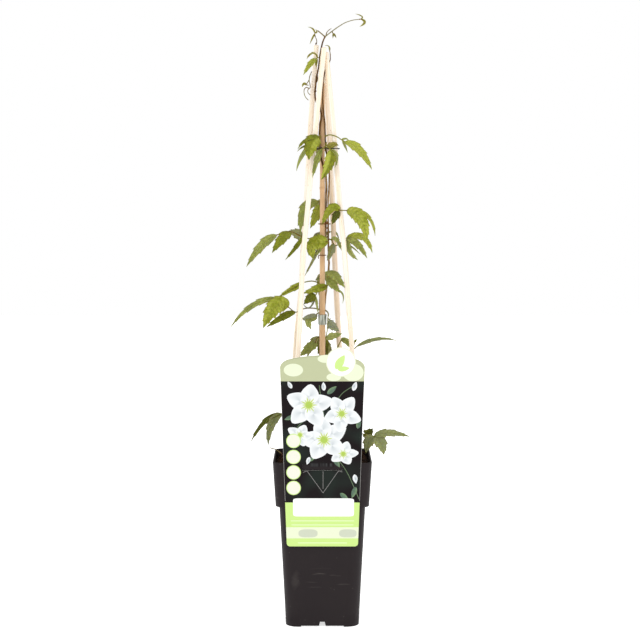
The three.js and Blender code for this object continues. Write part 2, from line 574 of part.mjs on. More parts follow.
// Each leaf has the stem and height that it grows from, where it grows from one, its
// stalks, and its leaflets as [base, via, tip, width, face, fold, teeth on a side].
const LEAVES = {
  // ---- young growth above the slats
  leaf_tip_right: {
    colour: LEAF_YOUNG,
    fine: true,
    stalks: [[[46.8, -4, 767.9], [48.2, -4, 768], [49.6, -4.2, 767.6]]],
    leaflets: [
      [[48.2, -4, 768], [50, -5, 771.2], [41.8, -6, 774.6], 2.4, [0.3, -0.8, 0.5], 10, 0],
      [[49.2, -4, 767.7], [53.2, -6, 763.6], [46.9, -8, 758.1], 4.2, [0.3, -0.9, 0.3], 20, 0],
    ],
  },
  leaf_tip_left: {
    colour: LEAF_YOUNG,
    fine: true,
    stalks: [[[-9.1, 2, 747], [-9.6, 2, 749.6], [-9.5, 2, 752]]],
    leaflets: [
      [[-9.5, 2, 751.2], [-12.3, 1, 756.7], [-18.4, 0, 758.8], 2.6, [-0.3, -0.8, 0.5], 10, 0],
      [[-9.6, 1.8, 750.6], [-12, 0, 745.6], [-16, -2, 737.2], 3.2, [-0.4, -0.8, 0.4], 20, 0],
      [[-9.5, 2, 751.4], [-7, 3, 753.2], [-8.7, 4, 756.6], 2.4, [0.4, -0.8, 0.4], 10, 0],
    ],
  },
  leaf_tip_middle: {
    colour: BROWN_STEM,
    fine: true,
    stalks: [[[12.6, -4.1, 752.1], [13.2, -4.8, 750.6], [13.6, -5.2, 749.6]]],
    leaflets: [
      [[13.5, -5, 750.2], [15.6, -6, 747.9], [17.6, -7, 744], 3, [0.3, -0.9, 0.3], 10, 0],
      [[13.4, -5, 750], [13.6, -6, 747.1], [12.8, -7, 743.8], 2.6, [-0.4, -0.9, 0.3], 10, 0],
    ],
  },
  leaf_crown_inner: {
    colour: LEAF_YOUNG,
    fine: true,
    stalks: [[[10, 0.2, 723.4], [9.8, -0.2, 726], [9.2, -0.6, 729.4]]],
    leaflets: [
      [[9.3, -0.6, 728.8], [8, -1.4, 734.6], [3, -3, 735], 2.6, [0.2, -0.7, 0.7], 10, 0],
    ],
  },
  leaf_crown_left: {
    colour: LEAF_BRIGHT,
    fine: true,
    grows: [STEM_MAIN, 720],
    stalks: [[[-6.2, -6.4, 719.6], [-7.2, -7.6, 718.8], [-8.2, -8.4, 718.2]]],
    leaflets: [
      [[-6.1, -6.2, 719.8], [-12.3, -9, 724.8], [-19.9, -12, 717.3], 6, [-0.1, -0.5, 0.85], 14, 2],
      [[-7.7, -8.2, 718.4], [-14.6, -13.4, 711], [-24, -16, 697], 10, [-0.3, -0.8, 0.5], 16, 2],
      [[-7.3, -7.6, 718.6], [-7.8, -9.6, 712.8], [-7.9, -9.4, 706.7], 4.6, [0.1, -0.95, 0.3], 20, 0],
    ],
  },
  tendril_left: {
    colour: LEAF_YOUNG,
    fine: true,
    stalks: [
      [[-7.7, 10.8, 704], [-12.6, 11.6, 704.4], [-15, 6, 700], [-16.4, 0, 695], [-16.6, -2.4, 691.6], [-15.7, -3, 686],
        [-15.4, -3, 682.6], [-18.4, -3.6, 679.4], [-18.2, -3, 676.2], [-15.4, -0.4, 673.4]],
      [[-16.7, -2.2, 692], [-19.2, -4, 688], [-20.8, -5, 685.4]],
      [[-17.2, -3.2, 681.4], [-20, -4, 682.6], [-22.6, -5, 680.6], [-23.2, -5, 676], [-21.4, -3, 670.6],
        [-18, 0, 667]],
    ],
    leaflets: [
      [[-20.6, -4.8, 685.8], [-23.4, -5, 686.8], [-25.6, -6, 682.8], 4.4, [-0.2, -0.8, 0.5], 20, 0],
      [[-20.4, -4.8, 685.6], [-17.4, -4.2, 685.4], [-16.8, -4.2, 685.2], 1.6, [0, -0.9, 0.4], 10, 0],
    ],
  },

  // ---- first tier, where the wire holds the slats
  leaf_upper_left: {
    colour: LEAF_BRIGHT,
    grows: [STEM_MAIN, 619],
    stalks: [[[-3.2, -13, 622], [-2.6, -23.4, 617.6], [-9, -26, 613.6], [-16.3, -26.4, 608]]],
    leaflets: [
      [[-3.4, -23.6, 617.4], [-12.5, -31, 611.7], [-17, -35.5, 589.8], 24, [-0.2, -0.85, 0.5], 12, 4],
      [[-5.4, -24.8, 616.2], [-19, -27.2, 616], [-31, -31, 603.5], 9.5, [-0.1, -0.5, 0.85], 14, 2],
      [[-15.9, -26.4, 608.4], [-27.1, -27, 592.4], [-32.6, -27, 576.2], 8, [-0.5, -0.8, 0.3], 16, 0],
      [[-14.6, -26.2, 609.4], [-24.5, -28, 606.6], [-31.6, -29, 600.6], 4.4, [-0.1, -0.7, 0.7], 10, 0],
    ],
  },
  leaf_upper_front: {
    colour: LEAF_MID,
    grows: [STEM_SECOND, 611],
    stalks: [
      [[5.4, -15, 612.6], [5, -23.8, 609], [10.9, -25, 603]],
      [[5, -23.8, 609], [2, -24.6, 605.6], [-0.9, -24.8, 604]],
    ],
    leaflets: [
      [[-0.6, -24.8, 604.2], [-7.6, -27.5, 589], [-12.5, -26, 567.8], 9.5, [0.4, -0.9, 0.2], 26, 2],
      [[10.4, -25, 603.4], [8.7, -28.4, 586.4], [-2, -23, 565], 15.5, [0.1, -0.9, 0.4], 18, 3],
      [[10.6, -24.9, 603.2], [17.6, -26, 595.5], [15.9, -23.6, 580.4], 6, [0.5, -0.8, 0.3], 20, 2],
    ],
  },
  leaf_upper_inner: {
    colour: LEAF_DARK,
    fine: true,
    grows: [STEM_SECOND, 595],
    stalks: [[[7, -13, 600], [6.7, -16.7, 604.6]]],
    leaflets: [
      [[6.7, -16.6, 604.2], [13.4, -16.6, 609.9], [20.5, -16.6, 608.6], 9.6, [0.05, -1, 0], 2, 2],
    ],
  },
  leaf_upper_right: {
    colour: LEAF_BRIGHT,
    grows: [STEM_SECOND, 621],
    stalks: [[[10, -15.6, 622.2], [17.9, -18.8, 619.8], [24.2, -19.2, 615.8], [28.8, -20, 613]]],
    leaflets: [
      [[28.2, -20, 613.3], [45.6, -28, 602.7], [62, -36, 577.9], 15, [0.3, -0.85, 0.45], 12, 3],
      [[25.2, -19.5, 614.8], [28.6, -22, 607.6], [31.9, -22, 599.5], 4.2, [0.4, -0.9, 0.2], 16, 0],
      [[24.6, -19.2, 615.4], [29.1, -18.4, 617.3], [33.7, -20.4, 614.7], 4.6, [0.1, -0.6, 0.8], 12, 0],
    ],
  },
  leaf_upper_back: {
    colour: LEAF_MID,
    grows: [STEM_MAIN, 612],
    stalks: [[[-6.6, 6, 613], [-3, 16, 612], [-2, 24, 610]]],
    leaflets: [
      [[-2.2, 23.6, 610.2], [-3, 42, 606], [-6, 58, 588], 15, [0, 0.4, 0.9], 16, 3],
      [[-2.4, 22.6, 610.4], [-9, 32, 607], [-14.5, 42, 598], 9, [-0.3, 0.3, 0.9], 14, 2],
      [[-2, 23.2, 610.3], [4.6, 32, 606], [8.5, 41, 595], 9, [0.3, 0.3, 0.9], 14, 2],
    ],
  },

  // ---- second tier
  leaf_middle_left: {
    colour: LEAF_MID,
    grows: [STEM_MAIN, 537],
    stalks: [
      [[1.4, 6.2, 537], [-3, 6.6, 538], [-5.4, 3.4, 538.2]],
      [[-3, 6.6, 538], [-3.4, 7, 534]],
    ],
    leaflets: [
      [[-4.7, 3.2, 537.4], [-22.2, -6, 529.4], [-27.6, -11, 498.5], 16.5, [-0.25, -0.88, 0.4], 14, 2],
      [[-3, 7, 534.6], [-7.9, 8.6, 520.8], [-15.6, 7, 504.2], 14.5, [-0.1, -0.95, 0.3], 10, 3],
    ],
  },
  leaf_middle_back: {
    colour: LEAF_MID,
    grows: [STEM_MAIN, 541],
    stalks: [[[2, 15, 540], [-8, 25, 538], [-20, 28, 533.4]]],
    leaflets: [
      [[-19.6, 28, 533.8], [-25, 31, 518.7], [-24.4, 33, 499.3], 9, [-0.1, -0.9, 0.35], 16, 2],
      [[-8.4, 25.2, 538], [-6, 44, 539], [-9, 62, 524], 15, [-0.1, 0.4, 0.9], 14, 3],
    ],
  },
  leaf_middle_right: {
    colour: LEAF_BRIGHT,
    grows: [STEM_SECOND, 532],
    stalks: [[[12.6, -12, 528.4], [17.8, -23.4, 527.4], [24.5, -24.8, 527.2], [31.4, -22.4, 527]]],
    leaflets: [
      [[21.6, -24.2, 527.5], [10.8, -25.5, 529.3], [-0.7, -13, 508.7], 14.5, [-0.3, -0.8, 0.5], 14, 3],
      [[21.2, -24.6, 526.9], [16.7, -22, 519.7], [12.4, -17.4, 509.4], 10.5, [0.1, -0.95, 0.25], 8, 2],
      [[30.6, -22.8, 527], [47.6, -31, 516.8], [56.1, -38.4, 488.8], 20.5, [0.15, -0.88, 0.42], 12, 4],
      [[30.8, -22, 527.2], [56.4, -17, 520.5], [67, -14, 494.7], 11, [0.3, -0.6, 0.75], 16, 3],
    ],
  },

  // ---- third tier
  leaf_centre_left: {
    colour: LEAF_MID,
    grows: [STEM_MAIN, 487],
    stalks: [[[-0.8, 9.2, 487], [-5.6, 6.6, 488], [-14.6, -1, 490.4], [-28.5, -8, 495], [-40.5, -14, 500.3],
      [-58.1, -20, 496]]],
    leaflets: [
      [[-57.6, -20, 496], [-75.5, -28, 483.9], [-95.4, -36, 456.4], 15.5, [-0.3, -0.85, 0.45], 14, 3],
      [[-40.9, -14.2, 500.2], [-50.4, -24, 491.1], [-63.4, -31, 473.6], 17, [-0.1, -0.78, 0.6], 14, 3],
      [[-24.7, -6, 494], [-33.6, -1, 497.9], [-43.9, 2, 500.9], 17.5, [0, 0.85, 0.5], 8, 3],
      [[-24.9, -6.4, 493.6], [-33.6, -10, 480.4], [-47.3, -12.6, 464.3], 7.5, [-0.4, -0.85, 0.3], 18, 2],
    ],
  },
  leaf_centre_front: {
    colour: LEAF_BRIGHT,
    grows: [STEM_SECOND, 486],
    stalks: [[[8.2, -8, 486.2], [7.4, -10.6, 487.4], [-1.6, -9.6, 486]]],
    leaflets: [
      [[7.2, -10.5, 487.2], [-11.6, -14.4, 483.4], [-11.3, -21, 465.8], 23, [-0.1, -0.88, 0.5], 8, 4],
      [[-1, -9.8, 485.8], [-4.3, -13, 477], [-8.6, -15, 468.7], 8, [-0.1, -0.9, 0.4], 12, 3],
      [[-1.4, -9.8, 485.8], [-11.6, -12, 464.3], [-23.1, -12, 443.2], 6.4, [-0.5, 0.7, 0.5], 16, 2],
    ],
  },
  leaf_centre_back: {
    colour: LEAF_MID,
    grows: [STEM_MAIN, 495],
    stalks: [[[2.2, 10, 495], [1.8, 13, 494.4]]],
    leaflets: [
      [[2, 11, 495], [-5.7, 12, 497], [-11.8, 12, 493.7], 7, [0, 0.8, 0.6], 8, 2],
      [[2.2, 11, 495], [6.4, 12, 498.6], [12, 12, 500.1], 6, [0, 0.8, 0.6], 8, 2],
      [[1.9, 12.4, 494.6], [-1, 33, 490], [-5, 56, 472], 17, [0, 0.35, 0.95], 14, 3],
    ],
  },
  leaf_centre_inner: {
    colour: LEAF_DARK,
    grows: [STEM_SECOND, 491],
    stalks: [
      [[11.6, -4, 489.4], [14.4, -3.6, 484.4]],
      [[11.6, -4, 489.4], [17, -1, 491.4], [20.6, 2, 492.2], [19.5, 3, 495.4]],
    ],
    leaflets: [
      [[11.4, -4.2, 489.4], [17.6, -7, 490.6], [24.4, -10, 476.4], 7.5, [0.2, -0.7, 0.6], 16, 2],
      [[14.2, -3.6, 484.8], [11, -5.6, 474.3], [5.9, -5, 463], 10.5, [-0.2, 0.9, 0.3], 10, 2],
      [[19.6, 3, 495], [18.2, 3.5, 498], [17.4, 4, 500.6], 3, [0.3, -0.8, 0.5], 20, 0],
    ],
  },
  leaf_centre_right: {
    colour: LEAF_BRIGHT,
    grows: [STEM_SECOND, 480],
    stalks: [
      [[15, 2, 481.4], [21, -2.4, 484], [27, -10, 488.6], [31.4, -14, 492.2]],
      [[31, -14, 492.2], [34.6, -16.4, 486], [35.6, -16.4, 482]],
    ],
    leaflets: [
      [[31, -14, 492.2], [44.4, -24, 484], [56.4, -30, 466.8], 12.5, [0.25, -0.8, 0.55], 10, 3],
      [[31, -13.8, 492.3], [51.3, -12, 492.7], [63.5, -14, 473.2], 12.5, [0.25, -0.7, 0.65], 12, 2],
      [[32.2, -14.8, 491.4], [34.4, -19, 476.4], [45.3, -20.6, 464.3], 9, [-0.4, -0.85, 0.3], 14, 2],
      [[35.3, -16.4, 482.8], [41.3, -18, 478], [48.1, -20, 471.6], 2.6, [0.1, -0.7, 0.7], 8, 0],
    ],
  },

  // ---- fourth tier
  leaf_lower_left: {
    colour: LEAF_BRIGHT,
    grows: [STEM_MAIN, 433],
    stalks: [[[-7, 4, 435.4], [-13.3, 0, 437], [-24.1, -5, 435.2], [-39.9, -12, 427],
      [-58.7, -19, 415.8]]],
    leaflets: [
      [[-23.2, -4.7, 435.4], [-39.9, -12, 426.4], [-56, -18, 417.4], 10.5, [-0.25, -0.85, 0.45], 14, 2],
      [[-58, -18.8, 416.2], [-89.3, -28, 406.4], [-116.2, -36, 379.3], 9.5, [-0.2, -0.9, 0.4], 14, 3],
    ],
  },
  leaf_lower_left_broad: {
    colour: LEAF_BRIGHT,
    grows: [STEM_MAIN, 400],
    stalks: [[[-11, 3, 402], [-24, -9.4, 402], [-33.5, -13.2, 398], [-43.5, -22.4, 405.2]]],
    leaflets: [
      [[-42.9, -22, 405], [-58.9, -32, 406.7], [-74.4, -38, 379.3], 27, [-0.25, -0.85, 0.45], 8, 4],
      [[-34.2, -13.6, 398.4], [-50, -16.4, 391.7], [-71.5, -20, 379], 13, [-0.1, -0.75, 0.65], 14, 2],
    ],
  },
  leaf_lower_front: {
    colour: LEAF_MID,
    grows: [STEM_SECOND, 435],
    stalks: [[[7.8, -4, 433.4], [7.2, -8.4, 432], [-3, -15.4, 428.4], [-9, -17.4, 419]]],
    leaflets: [
      [[6.4, -8.8, 431.8], [-10.1, -18, 426.9], [-25.3, -22.6, 422.1], 14.5, [0, -0.75, 0.65], 14, 3],
      [[-8.8, -17.8, 420.6], [-15.9, -19.6, 415.8], [-23.5, -20.6, 408.5], 14, [-0.1, -0.9, 0.35], 8, 3],
      [[-8.8, -17.4, 419.2], [-7.4, -18.4, 408.6], [-5, -16.4, 395.8], 5.6, [0.7, -0.7, 0.3], 22, 2],
      [[-8.6, -17.2, 419], [-16.2, -13, 404], [-25.1, -12, 409.3], 4, [0, -0.5, 0.85], 10, 0],
    ],
  },
  leaf_lower_right: {
    colour: LEAF_DARK,
    grows: [STEM_SECOND, 450],
    stalks: [[[7.4, -7, 450.4], [6.8, -10, 446], [6.6, -12, 441.4]]],
    leaflets: [
      [[7.4, -7, 450.4], [16.5, -24, 443.7], [28.6, -37, 429.8], 16, [0.15, -0.85, 0.5], 12, 3],
      [[6.6, -11.8, 441.8], [13.5, -17, 433.5], [22.4, -18, 423.1], 13.5, [-0.1, -0.8, 0.55], 10, 3],
      [[18, -17.8, 427], [25.9, -18, 420.6], [25.6, -17, 409.3], 3.2, [0.5, -0.8, 0.3], 16, 0],
    ],
  },
  leaf_lower_back: {
    colour: LEAF_MID,
    grows: [STEM_MAIN, 445],
    stalks: [[[1, 11.4, 446], [1, 14, 446]]],
    leaflets: [
      [[0.6, 11.6, 446], [-4.3, 10, 441], [-9.2, 6, 438.1], 5, [-0.2, -0.8, 0.5], 14, 2],
      [[1.1, 13.4, 446], [4.4, 33, 446], [7.6, 56, 429], 14, [0.1, 0.35, 0.95], 14, 3],
      [[0.8, 13.4, 446], [-2, 28, 440], [-4.6, 46, 416], 12, [-0.3, 0.3, 0.9], 14, 2],
    ],
  },

  // ---- fifth tier
  leaf_low_left: {
    colour: LEAF_MID,
    grows: [STEM_MAIN, 396.5],
    stalks: [[[-7.2, 3, 394.4], [-7, -1.6, 391.4]]],
    leaflets: [
      [[-7.1, -1, 391.8], [-14, -7, 390.1], [-27.4, -15, 389.9], 13.5, [0, 0.9, 0.45], 10, 2],
      [[-7, -1.4, 391.4], [-17.5, -11.5, 387.1], [-13.7, -14, 375.8], 13, [-0.2, -0.88, 0.4], 12, 2],
    ],
  },
  leaf_low_right: {
    colour: LEAF_MID,
    grows: [STEM_SECOND, 400],
    stalks: [
      [[7.4, 2.5, 396], [7, -3.4, 389], [6.4, -5.6, 376], [4.6, -7.4, 364.4]],
      [[7, -3.4, 389], [8.4, -6, 388.6], [9.6, -8.6, 388.8]],
    ],
    leaflets: [
      [[6.7, -3.9, 385.5], [13.3, -9.4, 379.8], [22, -13.4, 373.2], 13.5, [-0.2, 0.85, 0.4], 10, 3],
      [[4.8, -7.2, 365], [13.3, -12.4, 367], [25.5, -15, 371], 12, [0, -0.85, 0.5], 14, 2],
      [[9.4, -8.2, 388.8], [10, -9.4, 389.4], [10.4, -10.6, 389.8], 3.2, [0, -0.7, 0.7], 20, 0],
    ],
  },
  leaf_low_dark: {
    colour: LEAF_DARK,
    grows: [STEM_MAIN, 364],
    stalks: [[[-7.2, 0, 363.4], [-8.6, -8, 358.6]]],
    leaflets: [
      [[-8.4, -7.4, 358.8], [-17.5, -15.6, 351.6], [-29.2, -20, 341.8], 15.5, [-0.1, -0.8, 0.55], 14, 3],
      [[-7.7, -3, 361.4], [-12.7, -1, 356.3], [-16.3, 0, 348.5], 4.4, [0, -0.5, 0.85], 10, 2],
    ],
  },
  leaf_low_back: {
    colour: LEAF_DARK,
    grows: [STEM_MAIN, 366],
    stalks: [[[0, 13.4, 365.2], [-1, 17, 364]]],
    leaflets: [
      [[0, 13, 365.4], [0.6, 16.4, 345.8], [-0.5, 18.4, 326], 17, [0, -0.9, 0.4], 12, 3],
      [[-0.6, 16, 364.4], [-9, 31, 358], [-20, 50, 334], 17, [-0.2, 0.3, 0.9], 14, 3],
      [[-0.6, 16.2, 364.3], [5.6, 34, 350], [11, 58, 326], 15, [0.2, 0.3, 0.9], 14, 3],
    ],
  },

  // ---- low leaves, partly behind the label
  leaf_shoulder_right: {
    colour: LEAF_MID,
    grows: [STEM_SECOND, 330],
    stalks: [
      [[16, -2, 345], [21.4, -5, 356], [24.2, -5, 362]],
      [[16, -2, 345], [27, -20, 342], [38, -28.6, 350], [43.6, -27.6, 355.4]],
      [[38, -28.6, 350], [40, -28, 357], [40.9, -27.6, 361.4]],
    ],
    leaflets: [
      [[24, -5, 361.8], [29.7, -8, 360.7], [36, -12, 351.6], 9.5, [0.2, -0.85, 0.4], 16, 2],
      [[40.8, -27.6, 361], [42, -27.8, 362.8], [43.6, -28, 365], 3.6, [0.1, -0.8, 0.5], 20, 0],
      [[43.2, -27.6, 355.3], [69.5, -31, 365.1], [94.8, -34, 362.8], 6.4, [0.1, -0.85, 0.5], 14, 3],
    ],
  },
  leaf_collar_left: {
    colour: LEAF_DARK,
    grows: [STEM_MAIN, 250],
    stalks: [[[-20, -6, 262], [-40, -22, 267], [-52, -34, 270.4]]],
    leaflets: [
      [[-51.5, -33.6, 270.4], [-71.6, -40, 261.9], [-90.3, -47, 236.2], 9.5, [-0.35, -0.75, 0.55], 20, 2],
      [[-51.6, -33.8, 270.3], [-64.2, -44, 257.1], [-68, -50, 232.4], 13.5, [-0.1, -0.85, 0.5], 20, 3],
      [[-30, -14.4, 264.8], [-30, 2, 268], [-40, 22, 254], 13, [-0.3, 0.2, 0.9], 16, 2],
    ],
  },
  leaf_collar_right: {
    colour: LEAF_MID,
    grows: [STEM_SECOND, 236],
    stalks: [[[24, -6, 244], [36, -20, 246], [53.6, -32.4, 244], [66, -38.4, 242.4]]],
    leaflets: [
      [[53.2, -32.2, 244.2], [56.1, -30, 243.4], [64.3, -26, 250.8], 15, [0.1, -0.7, 0.7], 14, 2],
      [[65.4, -38.2, 242.5], [83.9, -44, 247.5], [110.1, -50, 243.6], 12, [0.1, -0.85, 0.5], 14, 3],
      [[65.2, -38.2, 242.4], [58.2, -44.4, 235.6], [55.1, -47.4, 222.9], 17.5, [-0.2, -0.9, 0.4], 14, 3],
      [[65.6, -38.3, 242.3], [73.7, -46.4, 234.6], [77.1, -51.4, 220.7], 20, [0.2, -0.9, 0.4], 14, 3],
    ],
  },
  leaf_back_left: {
    colour: LEAF_MID,
    grows: [STEM_MAIN, 300],
    stalks: [[[-8, 22, 306], [-10, 34, 304]]],
    leaflets: [
      [[-9.8, 33, 304.2], [-16, 54, 300], [-22, 74, 276], 18, [-0.2, 0.4, 0.9], 14, 3],
      [[-8.8, 27, 305.4], [-24, 26, 308], [-44, 26, 290], 14, [-0.4, 0.1, 0.9], 16, 3],
      [[-9.6, 31, 304.6], [4, 40, 304], [15, 56, 282], 13, [0.4, 0.3, 0.9], 14, 3],
    ],
  },
  leaf_back_right: {
    colour: LEAF_BRIGHT,
    grows: [STEM_SECOND, 262],
    stalks: [[[12, 22, 268], [24, 32, 268]]],
    leaflets: [
      [[23.4, 31.5, 268.2], [38, 30, 267], [50, 37, 248], 11, [0.4, 0.3, 0.9], 14, 3],
      [[16, 26, 268.2], [14, 44, 272], [12, 66, 254], 15, [0, 0.4, 0.9], 16, 3],
      [[19, 28.6, 268.3], [26, 18, 272], [40, 8, 258], 12, [0.4, -0.2, 0.9], 14, 3],
    ],
  },
};

function makeLeaf({ grows, stalks, leaflets, fine }) {
  const [first, ...others] = stalks;
  const rows = grows ? [budPoint(...grows, first[0]), ...first] : first;
  return fuse(...[rows, ...others].map(fine ? fineStalk : stalk), ...leaflets.map(makeLeaflet));
}

// ---------------------------------------------------------------- debris on the compost

const TWIG = [[-50, 44, 204.6], [-56, 43, 209.3], [-61.5, 41, 213.5], [-69, 38, 216.2]];

// ---------------------------------------------------------------- assembly

add('pot', makePot(), 0x2c2828, { roughness: 0.55 });
add('soil', makeSoil(), 0x33231a, { roughness: 1 });
add('cane', makeCane(), 0xc99f75, { roughness: 0.6 });
Object.entries(STICKS).forEach(([name, stick]) => add(name, makeStick(stick), SLAT, { roughness: 0.75 }));
add('wire_tie', makeRackTie(), 0x3c4238, { roughness: 0.4, metalness: 0.3 });
add('cane_clip', makeCaneClip(), 0x33261c, { roughness: 0.6 });
add('cane_ring', makeCaneRing(), 0x5c4030, { roughness: 0.6 });
add('cane_tape', makeBand(TAPE.outline, TAPE.wall, TAPE.bottom, TAPE.top), 0x6f7466, { roughness: 0.3 });

const label = add('label', makeLabel(), 0xc5cba3, { roughness: 0.4 });
label.rotation.x = Math.PI / 2 + LABEL_LEAN;
label.position.set(0, -(POT_RIM_HALF + CLEARANCE), POT_HEIGHT);

add('stem_main', makeStemMain(), BROWN_STEM, { roughness: 0.8 });
add('stem_second', makeStemSecond(), BROWN_STEM, { roughness: 0.8 });
Object.entries(LEAVES).forEach(([name, leaf]) => add(name, makeLeaf(leaf), leaf.colour));
add('twig', tube(TWIG, [0.9, 0.6]), BROWN_STEM, { roughness: 0.9 });

export default parts;
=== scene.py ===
import functools
import math

import bmesh
import bpy
import numpy as np
from bpy.props import FloatProperty, FloatVectorProperty, IntProperty, PointerProperty
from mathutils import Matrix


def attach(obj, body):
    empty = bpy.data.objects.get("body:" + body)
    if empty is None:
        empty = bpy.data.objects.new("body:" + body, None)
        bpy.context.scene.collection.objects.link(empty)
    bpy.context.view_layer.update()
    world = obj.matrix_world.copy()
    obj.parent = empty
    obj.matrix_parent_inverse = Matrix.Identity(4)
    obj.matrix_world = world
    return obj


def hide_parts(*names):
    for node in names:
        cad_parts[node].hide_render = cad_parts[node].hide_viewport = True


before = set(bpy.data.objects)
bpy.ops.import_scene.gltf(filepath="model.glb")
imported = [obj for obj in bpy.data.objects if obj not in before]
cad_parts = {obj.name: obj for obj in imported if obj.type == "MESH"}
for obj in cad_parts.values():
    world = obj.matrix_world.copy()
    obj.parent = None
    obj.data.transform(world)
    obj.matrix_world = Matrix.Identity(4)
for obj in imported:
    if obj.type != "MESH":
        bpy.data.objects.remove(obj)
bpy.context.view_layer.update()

bl_info = {
    "name": "Potted Clematis", "version": (1, 0, 0), "blender": (4, 5, 0), "category": "Add Mesh",
    "location": "View3D > Sidebar > Clematis",
    "description": "Dresses the frame of a young clematis that climbs a cane and four slats in a tall pot"}

MM = 0.001
TURN = 2 * math.pi
TOOTH_DEPTH = 0.24


def points(text, *last):
    """Rows of numbers out of text, in which a comma ends each row. The last numbers end every row."""
    return [tuple(float(value) for value in row.split()) + last for row in text.split(",")]


def linear(code):
    """The linear colour of an sRGB hex code such as #8a9a2c."""
    share = np.array([int(code[i:i + 2], 16) for i in (1, 3, 5)]) / 255
    return tuple(np.where(share <= 0.04045, share / 12.92, ((share + 0.055) / 1.055) ** 2.4).tolist())


def amount(name, text, default, kind=FloatProperty, **limits):
    """A number that a user can change."""
    return kind(name=name, description=text, default=default, **limits)


def size(name, text, default):
    """A length in millimetres that a user can change."""
    return amount(name, text + ", in millimetres", default, min=0)


def colour(name, text, code):
    """A colour that a user can change, with its default as an sRGB hex code."""
    return amount(name, text, linear(code), FloatVectorProperty, subtype="COLOR", min=0, max=1)


# ---- settings

class PotSettings(bpy.types.PropertyGroup):
    """Sizes and colours of the pot and the compost in it."""

    side_bow: size("Side bow", "How far the tall sides are drawn in at mid height", 0.5)
    lip: size("Lip rounding", "Radius along the rim's outer edge", 0.8)
    crumbs: amount("Crumbs", "Loose lumps on the compost", 420, IntProperty, min=0, max=2000)
    fibres: amount("Fibres", "Loose fibres on the compost", 160, IntProperty, min=0, max=1000)
    plastic: colour("Plastic", "The pot's plastic", "#181013")
    scuff: colour("Scuffs", "Plastic that has been rubbed pale", "#3c3735")
    peat: colour("Peat", "The darkest compost", "#150c08")
    bark_crumb: colour("Bark crumb", "The palest lumps in the compost", "#4c3222")


class SupportSettings(bpy.types.PropertyGroup):
    """Sizes and colours of the cane, the slats and what ties the plant to them."""

    grain: size("Grain spacing", "Distance between the growth lines of the slats", 1.1)
    node_groove: size("Node groove", "Depth of the groove over a joint of the cane", 0.3)
    slat_pale: colour("Pale wood", "Early wood of the slats", "#f3eadf")
    slat_line: colour("Wood line", "Late wood of the slats", "#ecd8bb")
    cane_pale: colour("Pale cane", "The cane between its joints", "#dab68c")
    cane_dark: colour("Dark cane", "Stains and joints of the cane", "#7a4f30")
    wire: colour("Wire", "Coating of the wire tie", "#20241c")
    clip: colour("Clip", "The clip and the ring", "#6a4420")
    tape: colour("Tape", "The band of tape", "#6f7466")


class PlantSettings(bpy.types.PropertyGroup):
    """Sizes and colours of the stems and leaves."""

    blade: size("Blade thickness", "Thickness of a leaflet", 0.4)
    tooth: amount(
        "Tooth depth", "Depth of the teeth as a share of half the width", TOOTH_DEPTH, min=0, max=0.5)
    puff: size("Puffing", "How far a blade rises between its side veins", 0.34)
    ridge: amount("Bark ridges", "Ridge height as a share of the stem's radius", 0.13, min=0, max=0.4)
    sunlit: colour("Sunlit leaf", "The palest upper sides", "#a6ab45")
    bright: colour("Bright leaf", "Upper side of a leaf in full light", "#80871d")
    middle: colour("Leaf", "Upper side of most leaves", "#666a1a")
    dark: colour("Dark leaf", "Upper side of a leaf in the shade", "#3f4410")
    bloom: colour("Bloom", "The dull greyish film on some leaves", "#8d917c")
    under: colour("Underside", "Lower side of a leaf", "#80804c")
    young: colour("Young leaf", "A leaf that has just opened", "#948a42")
    bronze: colour("Bronze", "Margins, tips and leaf stalks", "#6e4a1c")
    vein: colour("Veins", "Side veins and midrib", "#9da247")
    bark: colour("Bark", "Furrows of the woody stems", "#472d14")
    bark_pale: colour("Pale bark", "Ridges of the woody stems", "#ad8d5e")
    peel_and_sheen: colour("Peeled bark", "Strips where the bark has split off", "#c9bca2")
    # Pale strips of split bark that also stand for a painted sheen of light on it.
    fresh: colour("Fresh stalk", "Leaf stalks that are still green", "#7c7a2a")
    shoot: colour("Shoot", "Side shoots that are not yet woody", "#84805a")


class LabelSettings(bpy.types.PropertyGroup):
    """Sizes and colours of the printed label."""

    relief: size("Print relief", "How far the printed shapes stand over the card", 0.06)
    card: colour("Card", "Bare card at the back and edges", "#f2f2ee")
    sage: colour("Sage", "Upper field", "#afb491")
    night: colour("Night", "Middle field", "#10070a")
    lime: colour("Lime", "Lower field", "#bcd881")
    pale: colour("Pale lime", "Pale shapes", "#d6dcc0")
    petal: colour("Petal", "The printed blossoms", "#dee0e1")


class StageSettings(bpy.types.PropertyGroup):
    """The floor, the lights and the camera."""

    lens: amount("Lens", "Focal length of the camera", 86.2, min=10, unit="CAMERA")
    distance: amount(
        "Distance", "From the camera to the plant", 1.96, min=0.3, unit="LENGTH", subtype="DISTANCE")
    height: amount("Height", "Height of the camera", 0.52, unit="LENGTH", subtype="DISTANCE")
    pitch: amount(
        "Pitch", "How far the camera looks down", math.radians(3.88), unit="ROTATION", subtype="ANGLE")
    daylight: amount("Daylight", "Strength of the light from all round", 0.8, min=0)
    key: amount("Key light", "Power of the large lamp in watts", 14, min=0)
    glow: amount("Floor glow", "Light that comes up through the floor", 0.65, min=0)
    floor: colour("Floor", "The pale floor", "#ffffff")


SETTINGS = {
    "clematis_pot": PotSettings, "clematis_support": SupportSettings, "clematis_plant": PlantSettings,
    "clematis_label": LabelSettings, "clematis_stage": StageSettings}


# ---- surfaces

